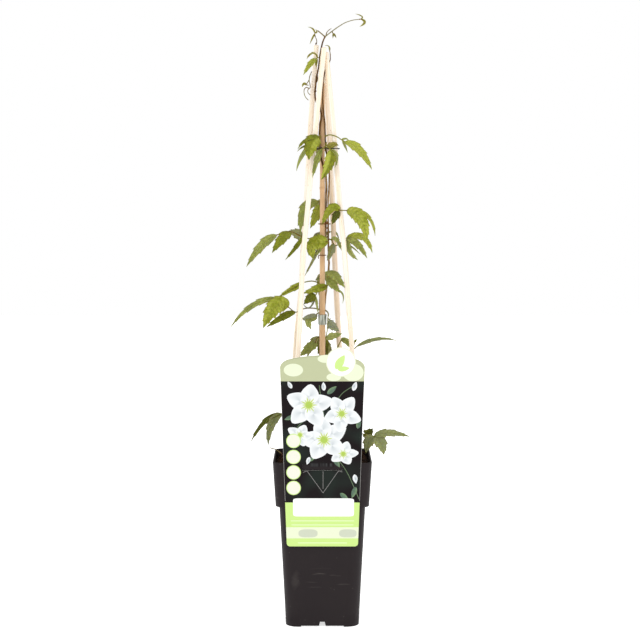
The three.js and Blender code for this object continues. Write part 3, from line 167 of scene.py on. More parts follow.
class Skin:
    """Gathers surfaces, each a function of two parameters on a grid, into one mesh."""

    def __init__(self):
        self.points, self.quads, self.maps, self.marks, self.slots = [], [], [], [], []
        self.count = 0

    def add(self, grid, chart, mark=(0, 0, 0, 1), wrap=False, slot=0, keep=None):
        """grid has rows by columns of points in millimetres. chart has the same rows and columns of
        (u, v, across mm, along mm), and one more column where wrap joins the last to the first.
        mark is one value of four numbers or a grid of them like chart, and keep says which quads stay."""
        rows, columns = grid.shape[:2]
        index = np.arange(rows * columns).reshape(rows, columns)
        if wrap:
            index = np.concatenate([index, index[:, :1]], axis=1)

        def corners(values):
            return np.stack([values[:-1, :-1], values[:-1, 1:], values[1:, 1:], values[1:, :-1]], axis=2)

        quads = corners(index[..., None])[..., 0]
        maps = corners(chart)
        marks = corners(np.broadcast_to(np.asarray(mark, float), chart.shape[:2] + (4,)))
        if keep is None:
            keep = np.ones(quads.shape[:2], bool)
        self.points.append(grid.reshape(-1, 3))
        self.quads.append(quads[keep] + self.count)
        self.maps.append(maps[keep].reshape(-1, 4))
        self.marks.append(marks[keep].reshape(-1, 4))
        self.slots.append(np.full(int(keep.sum()), slot))
        self.count += rows * columns

    def piece(self, name, materials, replaces=(), slot=None, sharp=40, closed=True):
        """Turns what was gathered into one object that rides on the root body."""
        places = np.concatenate(self.points) * MM
        quads = np.concatenate(self.quads)
        maps = np.concatenate(self.maps)
        mesh = bpy.data.meshes.new(name)
        mesh.vertices.add(len(places))
        mesh.vertices.foreach_set("co", places.ravel())
        mesh.loops.add(quads.size)
        mesh.loops.foreach_set("vertex_index", quads.ravel())
        mesh.polygons.add(len(quads))
        mesh.polygons.foreach_set("loop_start", np.arange(len(quads)) * 4)
        mesh.polygons.foreach_set("material_index", np.concatenate(self.slots))
        mesh.update(calc_edges=True)
        for layer, part in (("UVMap", maps[:, :2]), ("Span", maps[:, 2:])):
            mesh.uv_layers.new(name=layer).uv.foreach_set("vector", part.ravel())
        tints = mesh.color_attributes.new(name="marks", type="FLOAT_COLOR", domain="CORNER")
        tints.data.foreach_set("color", np.concatenate(self.marks).ravel())
        work = bmesh.new()
        work.from_mesh(mesh)
        bmesh.ops.remove_doubles(work, verts=work.verts, dist=2e-6)
        bmesh.ops.dissolve_degenerate(work, edges=work.edges, dist=1e-7)
        if closed:
            bmesh.ops.recalc_face_normals(work, faces=work.faces)
        work.to_mesh(mesh)
        work.free()
        mesh.polygons.foreach_set("use_smooth", np.ones(len(mesh.polygons), bool))
        mesh.set_sharp_from_angle(angle=math.radians(sharp))
        for material in materials:
            mesh.materials.append(material)
        made = bpy.data.objects.new(name, mesh)
        bpy.context.scene.collection.objects.link(made)
        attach(made, "root")
        if replaces:
            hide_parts(*replaces)
        return made


def unit(vectors):
    """Each vector divided by its own length."""
    return vectors / np.linalg.norm(vectors, axis=-1, keepdims=True)


def turned(flat, degrees):
    """Rows of x and y turned about the origin: x' = x cos a - y sin a, y' = x sin a + y cos a."""
    cos, sin = math.cos(math.radians(degrees)), math.sin(math.radians(degrees))
    return flat @ np.array([(cos, sin), (-sin, cos)])


def closed_up(rows):
    """The rows with the first one again at the end."""
    return np.concatenate([rows, rows[:1]])


def capped(rows):
    """The rows with the first and the last one doubled."""
    return np.concatenate([rows[:1], rows, rows[-1:]])


def circle_points(count):
    """cos a and sin a for count angles a over a full turn, the last the same as the first."""
    angle = np.linspace(0, TURN, count)
    return np.stack([np.cos(angle), np.sin(angle)], axis=1)


def flat_line(rows, per_span):
    """The smooth line through rows of x and y, and the unit direction to the left of it at each point."""
    line = smooth_line(np.column_stack([rows, np.zeros(len(rows))]), per_span)[:, :2]
    way = unit(np.gradient(line, axis=0))
    return line, np.stack([-way[:, 1], way[:, 0]], axis=1)


def globe(polar, around, reach=1.0):
    """reach (sin p cos a, sin p sin a, cos p) for polar angles p in a column and angles a around."""
    flat = np.sin(polar)
    ball = np.broadcast_arrays(flat * np.cos(around), flat * np.sin(around), np.cos(polar))
    return np.stack(ball, axis=2) * np.asarray(reach)[..., None]


def smooth_line(rows, per_span, closed=False):
    """Points on the centripetal Catmull-Rom line through rows. Between two rows the line is the cubic
    that meets both, with tangents weighted by the square roots of the gaps around them."""
    rows = np.asarray(rows, float)
    if closed:
        p0, p1, p2, p3 = (np.roll(rows, shift, axis=0) for shift in (1, 0, -1, -2))
    else:
        ends = np.concatenate([[2 * rows[0] - rows[1]], rows, [2 * rows[-1] - rows[-2]]])
        p0, p1, p2, p3 = ends[:-3], ends[1:-2], ends[2:-1], ends[3:]
    d0, d1, d2 = (
        np.sqrt(np.linalg.norm(b - a, axis=1, keepdims=True)) for a, b in ((p0, p1), (p1, p2), (p2, p3)))
    t1 = ((p1 - p0) / d0 - (p2 - p0) / (d0 + d1) + (p2 - p1) / d1) * d1
    t2 = ((p2 - p1) / d1 - (p3 - p1) / (d1 + d2) + (p3 - p2) / d2) * d1
    share = (np.arange(per_span) / per_span)[None, :, None]
    p1, p2, t1, t2 = (part[:, None, :] for part in (p1, p2, t1, t2))
    line = (p1 + share * t1 + share ** 2 * (3 * (p2 - p1) - 2 * t1 - t2)
            + share ** 3 * (2 * (p1 - p2) + t1 + t2)).reshape(-1, 3)
    return line if closed else np.concatenate([line, rows[-1:]])


def frames_along(line, closed=False):
    """Tangent, normal and binormal at each point of a line. The normal is carried from one point to the
    next by taking away its part along the new tangent."""
    if closed:
        tangent = unit(np.roll(line, -1, axis=0) - np.roll(line, 1, axis=0))
    else:
        tangent = unit(np.gradient(line, axis=0))
    normal = np.empty_like(tangent)
    carried = np.array([1.0, 0, 0]) if abs(tangent[0, 2]) > 0.9 else np.array([0, 0, 1.0])
    for station, direction in enumerate(tangent):
        carried = unit(carried - carried.dot(direction) * direction)
        normal[station] = carried
    return tangent, normal, np.cross(tangent, normal)


def run_length(line):
    """Distance travelled along a line at each of its points."""
    return np.concatenate([[0], np.cumsum(np.linalg.norm(np.diff(line, axis=0), axis=1))])


# The share of its radius that a tube keeps towards its end, and how many radii on it does so.
DOME = ((0.9, 0.3), (0.6, 0.6), (0.0, 0.75))
SWELL_REACH = 2.2


def tube(
        skin, rows, radius, per_span=6, sides=10, relief=None, closed=False, mark=(0, 0, 0, 1), slot=0,
        swell=0):
    """A round section carried along the smooth line through rows: centre + r (cos a normal + sin a
    binormal). r runs from the first radius to the second, swells by its share at both ends, and
    relief(angle, distance) scales it. Open ends close in a low dome."""
    line = smooth_line(rows, per_span, closed)
    tangent, normal, binormal = frames_along(line, closed)
    along = run_length(line)
    first, last = radius if isinstance(radius, (tuple, list)) else (radius, radius)
    spread = np.interp(np.arange(len(line)), [0, len(line) - 1], [first, last])
    ends = np.minimum(along, along[-1] - along)
    spread = spread * (1 + swell * np.exp(-(ends / (SWELL_REACH * first)) ** 2))
    if not closed:
        for share, reach in DOME:
            line = np.concatenate([
                line[:1] - tangent[:1] * reach * first, line, line[-1:] + tangent[-1:] * reach * last])
            spread = np.concatenate([[share * first], spread, [share * last]])
            along, tangent, normal, binormal = map(capped, (along, tangent, normal, binormal))
    angle = np.linspace(0, TURN, sides + 1)
    size_grid = np.repeat(spread[:, None], sides + 1, axis=1)
    if relief is not None:
        size_grid = size_grid * relief(angle[None, :], along[:, None])
    if closed:
        line, normal, binormal, size_grid = map(closed_up, (line, normal, binormal, size_grid))
        along = np.concatenate([along, [along[-1] * len(along) / (len(along) - 1)]])
    grid = line[:, None] + size_grid[..., None] * (
        np.cos(angle)[:, None] * normal[:, None] + np.sin(angle)[:, None] * binormal[:, None])
    travelled = along[:, None]
    chart = chart_of(angle / TURN, travelled / max(along[-1], 1e-6), angle * first, travelled)
    skin.add(grid[:, :-1], chart, mark=mark, wrap=True, slot=slot)


def square_columns(straight, arc):
    """Columns round a square: for each of its four sides the shares of the straight run that straight
    lists, then arc steps round the corner. Returns the side's outward and onward directions, the share
    and the corner's angle for every column, with the first column again at the end."""
    shares = np.concatenate([straight, np.ones(arc - 1)])
    angles = np.concatenate([np.zeros(len(straight)), np.arange(1, arc) / arc * (math.pi / 2)])
    turn = np.repeat(np.arange(-1, 3) * (math.pi / 2), len(shares))
    out = np.stack([np.cos(turn), np.sin(turn)], axis=1)
    onward = np.stack([-np.sin(turn), np.cos(turn)], axis=1)
    columns = (out, onward, np.tile(shares, 4), np.tile(angles, 4))
    return tuple(map(closed_up, columns))


def square_grid(columns, half, radius, height):
    """Rows of squares with round corners: outward * half + onward * share * (half - radius), and round the
    corner radius * (outward cos a + onward sin a). half, radius and height are rows, or rows by columns."""
    out, onward, share, angle = columns
    half, radius, height = (
        np.broadcast_to(np.asarray(part, float).reshape(len(part), -1), (len(part), len(share)))
        for part in (half, radius, height))
    straight = half - radius
    outward, sideways = straight + radius * np.cos(angle), share * straight + radius * np.sin(angle)
    flat = outward[..., None] * out + sideways[..., None] * onward
    return np.concatenate([flat, height[..., None]], axis=2)


def chart_of(*parts):
    """A chart whose four values, u, v, across and along, are each spread over the whole grid."""
    return np.stack(np.broadcast_arrays(*parts), axis=-1)


def flat_chart(plane):
    """A chart that lays the first two numbers of each point out flat, in shares of 100 mm and in mm."""
    return np.concatenate([plane[..., :2] / 100, plane[..., :2]], axis=-1)


def wrapped_chart(grid):
    """A chart for rings of points: the distance round and the height, in shares of 100 mm and in mm."""
    step = np.linalg.norm(np.diff(grid, axis=1), axis=2)
    around = np.concatenate([np.zeros((len(grid), 1)), np.cumsum(step, axis=1)], axis=1)
    around = np.broadcast_to(around.max(axis=0), around.shape)
    return flat_chart(np.stack([around, grid[..., 2]], axis=-1))


# ---- materials

def node(tree, kind, *inputs, stops=(), hard=False, out=None, **settings):
    """Adds a shader node with its settings, and a kind in capitals is what a Math node does. inputs are the
    values of its first enabled sockets, or map sockets' names to values, and a value may be an output to
    link. stops are a colour ramp's (place, colour) pairs. The answer is the node's first enabled output, or
    the one that out names."""
    if kind.isupper():
        kind, settings["operation"] = "Math", kind
    made = tree.nodes.new("ShaderNode" + kind)
    if kind == "Mix":
        settings["data_type"] = "RGBA"
    for key, value in settings.items():
        setattr(made, key, value)
    sockets = [socket for socket in made.inputs if socket.enabled]
    if inputs and isinstance(inputs[0], dict):
        sockets = [next(socket for socket in sockets if socket.name == key) for key in inputs[0]]
        inputs = inputs[0].values()
    for socket, value in zip(sockets, inputs):
        if isinstance(value, bpy.types.NodeSocket):
            tree.links.new(value, socket)
        else:
            socket.default_value = (*value, 1) if socket.type == "RGBA" and len(value) == 3 else value
    if stops:
        ramp = made.color_ramp.elements
        while len(ramp) < len(stops):
            ramp.new(1)
        for element, (place, tone) in zip(ramp, stops):
            element.position = place
            element.color = (*tone, 1)
        made.color_ramp.interpolation = "CONSTANT" if hard else "LINEAR"
    if out is not None:
        return made.outputs[out]
    return next((entry for entry in made.outputs if entry.enabled), made)


# What patterns are laid out on: the piece's own place, its span in millimetres, and its marks.
SOURCES = {
    "place": ("TexCoord", {"out": "Object"}), "span": ("UVMap", {"uv_map": "Span"}),
    "marks": ("Attribute", {"attribute_name": "marks"})}


def blank(name, *sources):
    """A new material without nodes, what adds a node to it, and the outputs of its sources."""
    material = bpy.data.materials.new(name)
    material.use_nodes = True
    material.node_tree.nodes.clear()
    add = functools.partial(node, material.node_tree)
    return material, add, *(add(SOURCES[source][0], **SOURCES[source][1]) for source in sources)


def finish(material, base, relief=None, specular=0.1, **sockets):
    """Gives a material its one Principled surface of a base colour. relief is a height with its strength
    and its depth in metres, and plain values are set on the surface's own sockets."""
    add = functools.partial(node, material.node_tree)
    inputs = {key.replace("_", " "): value for key, value in sockets.items()}
    if relief:
        inputs["Normal"] = add("Bump", dict(zip(("Height", "Strength", "Distance"), relief)))
    surface = add("BsdfPrincipled", {"Base Color": base, "Specular IOR Level": specular, **inputs})
    add("OutputMaterial", surface)
    return material


def drawn_noise(add, span, scale, detail, roughness=0.5):
    """Noise that is drawn out along a piece: scale is its steps per millimetre across and along."""
    drawn = add("Mapping", {"Vector": span, "Scale": (*scale, 1)})
    return add("TexNoise", drawn, 1.0, detail, roughness)


VEIN_LEAN = 0.95  # how far a side vein runs on along the blade by the time it meets the margin


def leaf_blade(look):
    """Living clematis leaf: a waxy upper side, a dull downy lower side, pale sunken veins and a margin
    that has turned bronze in the sun."""
    material, add, place, span, marks = blank("clematis_leaf_blade", "place", "span", "marks")
    tone, below, youth = add("SeparateColor", marks).node.outputs
    chart = add("SeparateXYZ", add("UVMap", uv_map="UVMap")).node.outputs
    across_mm = add("SeparateXYZ", span)

    # Side veins leave the midrib in steps of one along v and lean towards the tip.
    aside = add("ABSOLUTE", chart[0])
    step = add("PINGPONG", add("MULTIPLY_ADD", aside, -VEIN_LEAN, chart[1]), 0.5)
    side_vein = add("MapRange", step, 0.025, 0.09, 0.75, 0.0, interpolation_type="SMOOTHSTEP")
    side_vein = add("MULTIPLY", side_vein, add("MapRange", aside, 0.7, 0.97, 1.0, 0.15))
    rib = add("MapRange", add("ABSOLUTE", across_mm), 0.16, 0.5, 1.0, 0.0, interpolation_type="SMOOTHSTEP")
    veins = add("MAXIMUM", side_vein, rib)
    mesh_of_veins = add("MapRange", add("TexVoronoi", span, 0.75, feature="DISTANCE_TO_EDGE"), 0, 0.22)

    blotch = add("TexNoise", place, 120.0, 5.0, 0.66)
    shade = add("ADD", tone, add("MapRange", blotch, 0.3, 0.7, -0.24, 0.24))
    greens = [(0.05, look.dark), (0.45, look.middle), (0.75, look.bright), (1.0, look.sunlit)]
    upper = add("ValToRGB", shade, stops=greens)
    upper = add("Mix", add("MapRange", mesh_of_veins, 0, 1, 0.14, 0.0), upper, look.vein)
    upper = add("Mix", youth, upper, look.young)
    both = add("Mix", below, upper, look.under)
    both = add("Mix", marks.node.outputs["Alpha"], both, look.bloom)
    veined = add("MULTIPLY", add("MULTIPLY_ADD", tone, 0.35, 0.14), veins)
    both = add("Mix", veined, both, look.vein)
    margin = add("MapRange", aside, 0.8, 1.0)
    tan = add("MULTIPLY", add("MULTIPLY", margin, blotch), 0.85)
    both = add("Mix", tan, both, look.bronze)

    rough = add("MapRange", below, 0, 1, 0.46, 0.7)
    height = add("MULTIPLY", veins, add("MapRange", below, 0, 1, -1.0, 1.0))
    height = add("MULTIPLY_ADD", mesh_of_veins, 0.35, height)
    return finish(
        material, both, (height, 1.0, 0.0004), Roughness=rough,
        Subsurface_Weight=0.2, Subsurface_Radius=(0.6, 1.0, 0.1), Subsurface_Scale=0.0006)


def leaf_stalk(look):
    """Leaf stalk: smooth and round, green while it is fresh and bronze where the light has reached it."""
    material, add, place, span, marks = blank("clematis_leaf_stalk", "place", "span", "marks")
    blush = add("TexNoise", place, 120.0, 4.0)
    stops = [(0.35, look.bronze), (0.52, linear("#6e5e22")), (0.68, look.fresh)]
    base = add("ValToRGB", blush, stops=stops)
    base = add("Mix", add("SeparateColor", marks), base, look.fresh)
    lines = drawn_noise(add, span, (3.0, 0.4), 2.0)
    return finish(material, base, (lines, 0.4, 0.0001), Roughness=0.55, specular=0.14)


PALE_BARK_TOP = (0.56, 0.59)  # the heights in metres between which the bark turns dark and whole


def woody_bark(look, name="clematis_bark"):
    """Stringy bark of a woody climber: long fibres, dark in the furrows and greyish brown on top."""
    material, add, place, span, marks = blank(name, "place", "span", "marks")
    strings = drawn_noise(add, span, (2.6, 0.16), 5.0, 0.65)
    mixed = add("MULTIPLY_ADD", add("TexNoise", place, 70.0, 2.0), 0.5, strings)
    # The upper stems are darker and keep their bark whole, without the pale strips of peel and painted
    # sheen.
    upper = add("MapRange", add("SeparateXYZ", place, out="Z"), *PALE_BARK_TOP, 1.0, 0.0)
    mixed = add("MULTIPLY_ADD", upper, 0.17, mixed)
    base = add(
        "ValToRGB", mixed, stops=[(0.67, look.bark), (0.91, linear("#7a5a33")), (1.0, look.bark_pale)])
    # Pale strips on the lower stems: split bark, and a painted sheen of light along it.
    split = drawn_noise(add, span, (0.5, 0.045), 3.0)
    split = add("MULTIPLY", add("MapRange", split, 0.55, 0.62, 0, 0.75), upper)
    base = add("Mix", split, base, look.peel_and_sheen)
    base = add("Mix", add("SeparateColor", marks), base, look.shoot)
    return finish(material, base, (strings, 0.9, 0.0004), Roughness=0.85)


def bamboo_cane(look):
    """Dried tonkin cane: a hard silky skin with fine lengthways streaks, stained dark at its joints."""
    material, add, span, marks = blank("bamboo_cane", "span", "marks")
    streaks = drawn_noise(add, span, (1.9, 0.035), 4.0)
    stains = drawn_noise(add, span, (0.12, 0.03), 3.0)
    shade = add("MULTIPLY_ADD", streaks, 0.45, add("SeparateColor", marks))
    shade = add("MULTIPLY_ADD", stains, 0.7, shade)
    base = add(
        "ValToRGB", shade,
        stops=[(0.52, look.cane_pale), (0.8, linear("#bd946a")), (1.0, look.cane_dark)])
    rough = add("MapRange", streaks, 0, 1, 0.38, 0.6)
    return finish(material, base, (streaks, 0.35, 0.00015), Roughness=rough, specular=0.3)


def split_pine(look):
    """Planed softwood slat: pale early wood with fine darker lines along it, a few resin flecks and
    fibres that catch at the edges."""
    material, add, span, marks = blank("split_pine", "span", "marks")
    lines = drawn_noise(add, span, (1 / look.grain, 0.012), 3.0, 0.6)
    base = add("ValToRGB", lines, stops=[(0.38, look.slat_pale), (0.62, look.slat_line)])
    fibres = drawn_noise(add, span, (7.0, 0.25), 3.0)
    fleck = add("MapRange", drawn_noise(add, span, (0.6, 0.18), 1.0), 0.68, 0.76, 0, 0.5)
    base = add("Mix", fleck, base, linear("#a87a4c"))
    # The marks turn the wood tan: painted shade low on one slat, and the cut grain at the top ends.
    base = add("Mix", add("SeparateColor", marks), base, linear("#c99a66"))
    return finish(material, base, (fibres, 0.4, 0.00012), Roughness=0.62, specular=0.3)


# Where the pot is rubbed and smudged, in metres: the rubs' place, the height from which they fade in,
# and the smudge's place and breadth in its own scale.
RUB_PLACE, RUB_FOOT = (0.019, 0.0, -0.0305), (0.046, 0.06)
SMUDGE_PLACE, SMUDGE_SCALE = (5.8, 1.4, -5.2), (170.0, 30.0, 85.0)


def moulded_plastic(look):
    """Recycled polypropylene, injection moulded: nearly black, with a dull even skin, pale rub marks
    across the middle, one dull smudge and dried splashes of compost."""
    material, add, place = blank("recycled_polypropylene", "place")
    cloud = add("TexNoise", place, 22.0, 4.0)
    worn_band = add("Mapping", {"Vector": place, "Location": RUB_PLACE})
    rubs = add("Mapping", {"Vector": worn_band, "Rotation": (0.0, 0.12, 0.0), "Scale": (26.0, 26.0, 260.0)})
    rubs = add("MapRange", add("TexNoise", rubs, 1.0, 2.0), 0.64, 0.74)
    rubs = add("MULTIPLY", rubs, add("MapRange", add("TexNoise", worn_band, 14.0), 0.5, 0.62))
    height = add("SeparateXYZ", place, out="Z")
    rubs = add("MULTIPLY", rubs, add("MapRange", height, *RUB_FOOT))
    smudge = add("Mapping", {"Vector": place, "Location": SMUDGE_PLACE, "Scale": SMUDGE_SCALE})
    smudge = add("VectorMath", smudge, out="Value", operation="LENGTH")
    smudge = add("MULTIPLY_ADD", add("TexNoise", place, 130.0, 3.0), 1.6, smudge)
    smudge = add("MapRange", smudge, 1.1, 1.9, 0.38, 0.0)
    specks = add("MapRange", add("TexVoronoi", place, 75.0), 0.04, 0.075, 0.5, 0.0)
    worn = add("MAXIMUM", add("MAXIMUM", rubs, smudge), specks)
    worn = add("MULTIPLY_ADD", cloud, 0.18, worn)
    base = add("Mix", worn, look.plastic, look.scuff)
    rough = add("MapRange", cloud, 0, 1, 0.42, 0.62)
    skin = add("MULTIPLY_ADD", cloud, 4.0, add("TexNoise", place, 900.0, 2.0))
    return finish(material, base, (skin, 0.25, 0.0001), Roughness=rough, specular=0.16)


def damp_compost(look):
    """Peat and bark compost: crumbly, damp and almost black in the hollows, with paler bark."""
    material, add, place, marks = blank("peat_compost", "place", "marks")
    grit = add("TexNoise", place, 330.0, 6.0, 0.7)
    clods = add("TexNoise", place, 70.0, 3.0)
    mixed = add("MULTIPLY_ADD", clods, 0.4, grit)
    mixed = add("MULTIPLY_ADD", add("SeparateColor", marks), 0.35, mixed)
    base = add(
        "ValToRGB", mixed, stops=[(0.5, look.peat), (0.78, linear("#2f1e13")), (1.0, look.bark_crumb)])
    return finish(material, base, (mixed, 1.0, 0.0012), Roughness=0.95, specular=0.08)


def coated_wire(name, tone, dust_tone, roughness):
    """Wire in a soft coating that is scratched and dusty along its turns."""
    material, add, span = blank(name, "span")
    dust = add("TexNoise", span, 1.4, 3.0)
    base = add("Mix", add("MapRange", dust, 0.45, 0.8, 0, 0.45), tone, linear(dust_tone))
    rough = add("MapRange", dust, 0, 1, roughness, roughness + 0.25)
    return finish(material, base, (dust, 0.3, 0.0001), Roughness=rough, specular=0.12)


def grafting_tape(look):
    """Stretched polyethylene tape: thin, cloudy and shiny, with creases across its pull that carry pale
    streaks of painted highlight.
    """
    material, add, span = blank("polyethylene_tape", "span")
    creases_and_highlights = drawn_noise(add, span, (1.1, 0.05), 2.0)
    # Pale upright streaks of painted highlight follow the creases round the band.
    base = add("ValToRGB", creases_and_highlights, stops=[(0.42, look.tape), (0.62, linear("#d9ddd0"))])
    rough = add("MapRange", creases_and_highlights, 0, 1, 0.12, 0.4)
    return finish(
        material, base, (creases_and_highlights, 0.8, 0.0004), Roughness=rough, specular=0.6, Transmission_Weight=0.25)


LAMINATE = {"specular": 0.08, "Coat_Weight": 0.04, "Coat_Roughness": 0.18}


def printed_card(look):
    """Laminated card, printed in flat fields: sage above, nearly black in the middle, lime below."""
    material, add, span = blank("laminated_card", "span")
    height = add("SeparateXYZ", span, out="Y")
    low, high = LABEL_BOTTOM - 5, LABEL_CROWN + 15
    share = add("MapRange", height, low, high)
    edges = (low, *PALE_BAND, NIGHT_FOOT, NIGHT_TOP)
    tones = (look.lime, look.pale, look.lime, look.night, look.sage)
    fields = [((edge - low) / (high - low), tone) for edge, tone in zip(edges, tones)]
    base = add("ValToRGB", share, stops=fields, hard=True)
    soft = add("MapRange", add("TexNoise", span, 0.022, 1.0), 0.46, 0.62, 0, 0.6)
    dark = add("MapRange", height, NIGHT_FOOT, NIGHT_FOOT + 0.1)
    dark = add("MULTIPLY", dark, add("MapRange", height, NIGHT_TOP - 0.1, NIGHT_TOP, 1.0, 0.0))
    base = add("Mix", add("MULTIPLY", soft, dark), base, linear("#1c2822"))
    weave = add("TexNoise", span, 0.6, 3.0)
    return finish(material, base, (weave, 0.1, 0.0003), Roughness=0.34, **LAMINATE)


def printing_ink():
    """Ink under the laminate: each shape brings its own tone, and the film over it is smooth."""
    material, add, span, marks = blank("laminated_ink", "span", "marks")
    wash = add("MapRange", add("TexNoise", span, 0.35, 3.0), 0.4, 0.75, 0, 0.08)
    base = add("Mix", wash, marks, linear("#c4cfcf"))
    return finish(material, base, Roughness=0.32, **LAMINATE)


def bare_card(look):
    """The unprinted back and cut edges of the card: white board with faint grey fibres."""
    material, add, place = blank("white_board", "place")
    fibres = add("TexNoise", place, 420.0, 4.0)
    base = add("ValToRGB", fibres, stops=[(0.3, linear("#dcdcd4")), (0.6, look.card)])
    return finish(material, base, (fibres, 0.25, 0.0001), Roughness=0.7, specular=0.3)


def pale_floor(look):
    """Smooth painted studio floor."""
    material, add, place = blank("studio_floor", "place")
    mottle = add("TexNoise", place, 3.0)
    base = add("ValToRGB", mottle, stops=[(0.3, look.floor), (0.7, linear("#fbfbfa"))])
    return finish(
        material, base, Roughness=0.9, specular=0.2,
        Emission_Color=(1, 1, 1, 1), Emission_Strength=look.glow)


# ---- pot and compost

POT_HEIGHT, POT_RIM_HALF, POT_BAND_BOTTOM, POT_BAND_HALF = 212, 62.5, 155, 59
POT_BODY_HALF, POT_SKIRT_HALF, POT_SKIRT_BOTTOM, POT_BASE_HALF = 54.5, 46.2, 1.2, 47
POT_WALL, POT_FLOOR_BOTTOM, POT_FLOOR_TOP = 1.6, 6.5, 8.5
POT_RIM_RADIUS, POT_BASE_RADIUS, PAD_RADIUS = 12, 16, 12
FOOT_INNER, FOOT_STEP = 27.3, 0.5
NOTCH_BOTTOM_HALF, NOTCH_TOP_HALF, NOTCH_HEIGHT = 4.2, 3.0, 6.3
DRAIN_RADIUS, DRAIN_RING, DRAIN_BOTTOM, DRAIN_TOP = 4, 30, 4, 11
POT_SHARP = 32
CLEARANCE = 0.35
SOIL_EDGE, SOIL_CROWN = 201, 204.5
CRUMB_LEAST, CRUMB_MORE, CRUMB_BUMPS, CRUMB_STRETCH, CRUMB_SUNK = 0.5, 1.9, 0.3, (0.6, 1.3), 0.25
CRUMB_INSET, FIBRE_LENGTHS, FIBRE_RADII = 3, (4, 11), (0.28, 0.12)
POINT = 0.02


def body_half(height):
    """Half width of the body, a straight line from its base to the band."""
    return np.interp(height, [POT_FLOOR_TOP, POT_BAND_BOTTOM], [POT_BASE_HALF, POT_BODY_HALF])


def band_half(height):
    """Half width of the band, a straight line from its foot to the rim."""
    return np.interp(height, [POT_BAND_BOTTOM, POT_HEIGHT], [POT_BAND_HALF, POT_RIM_HALF])


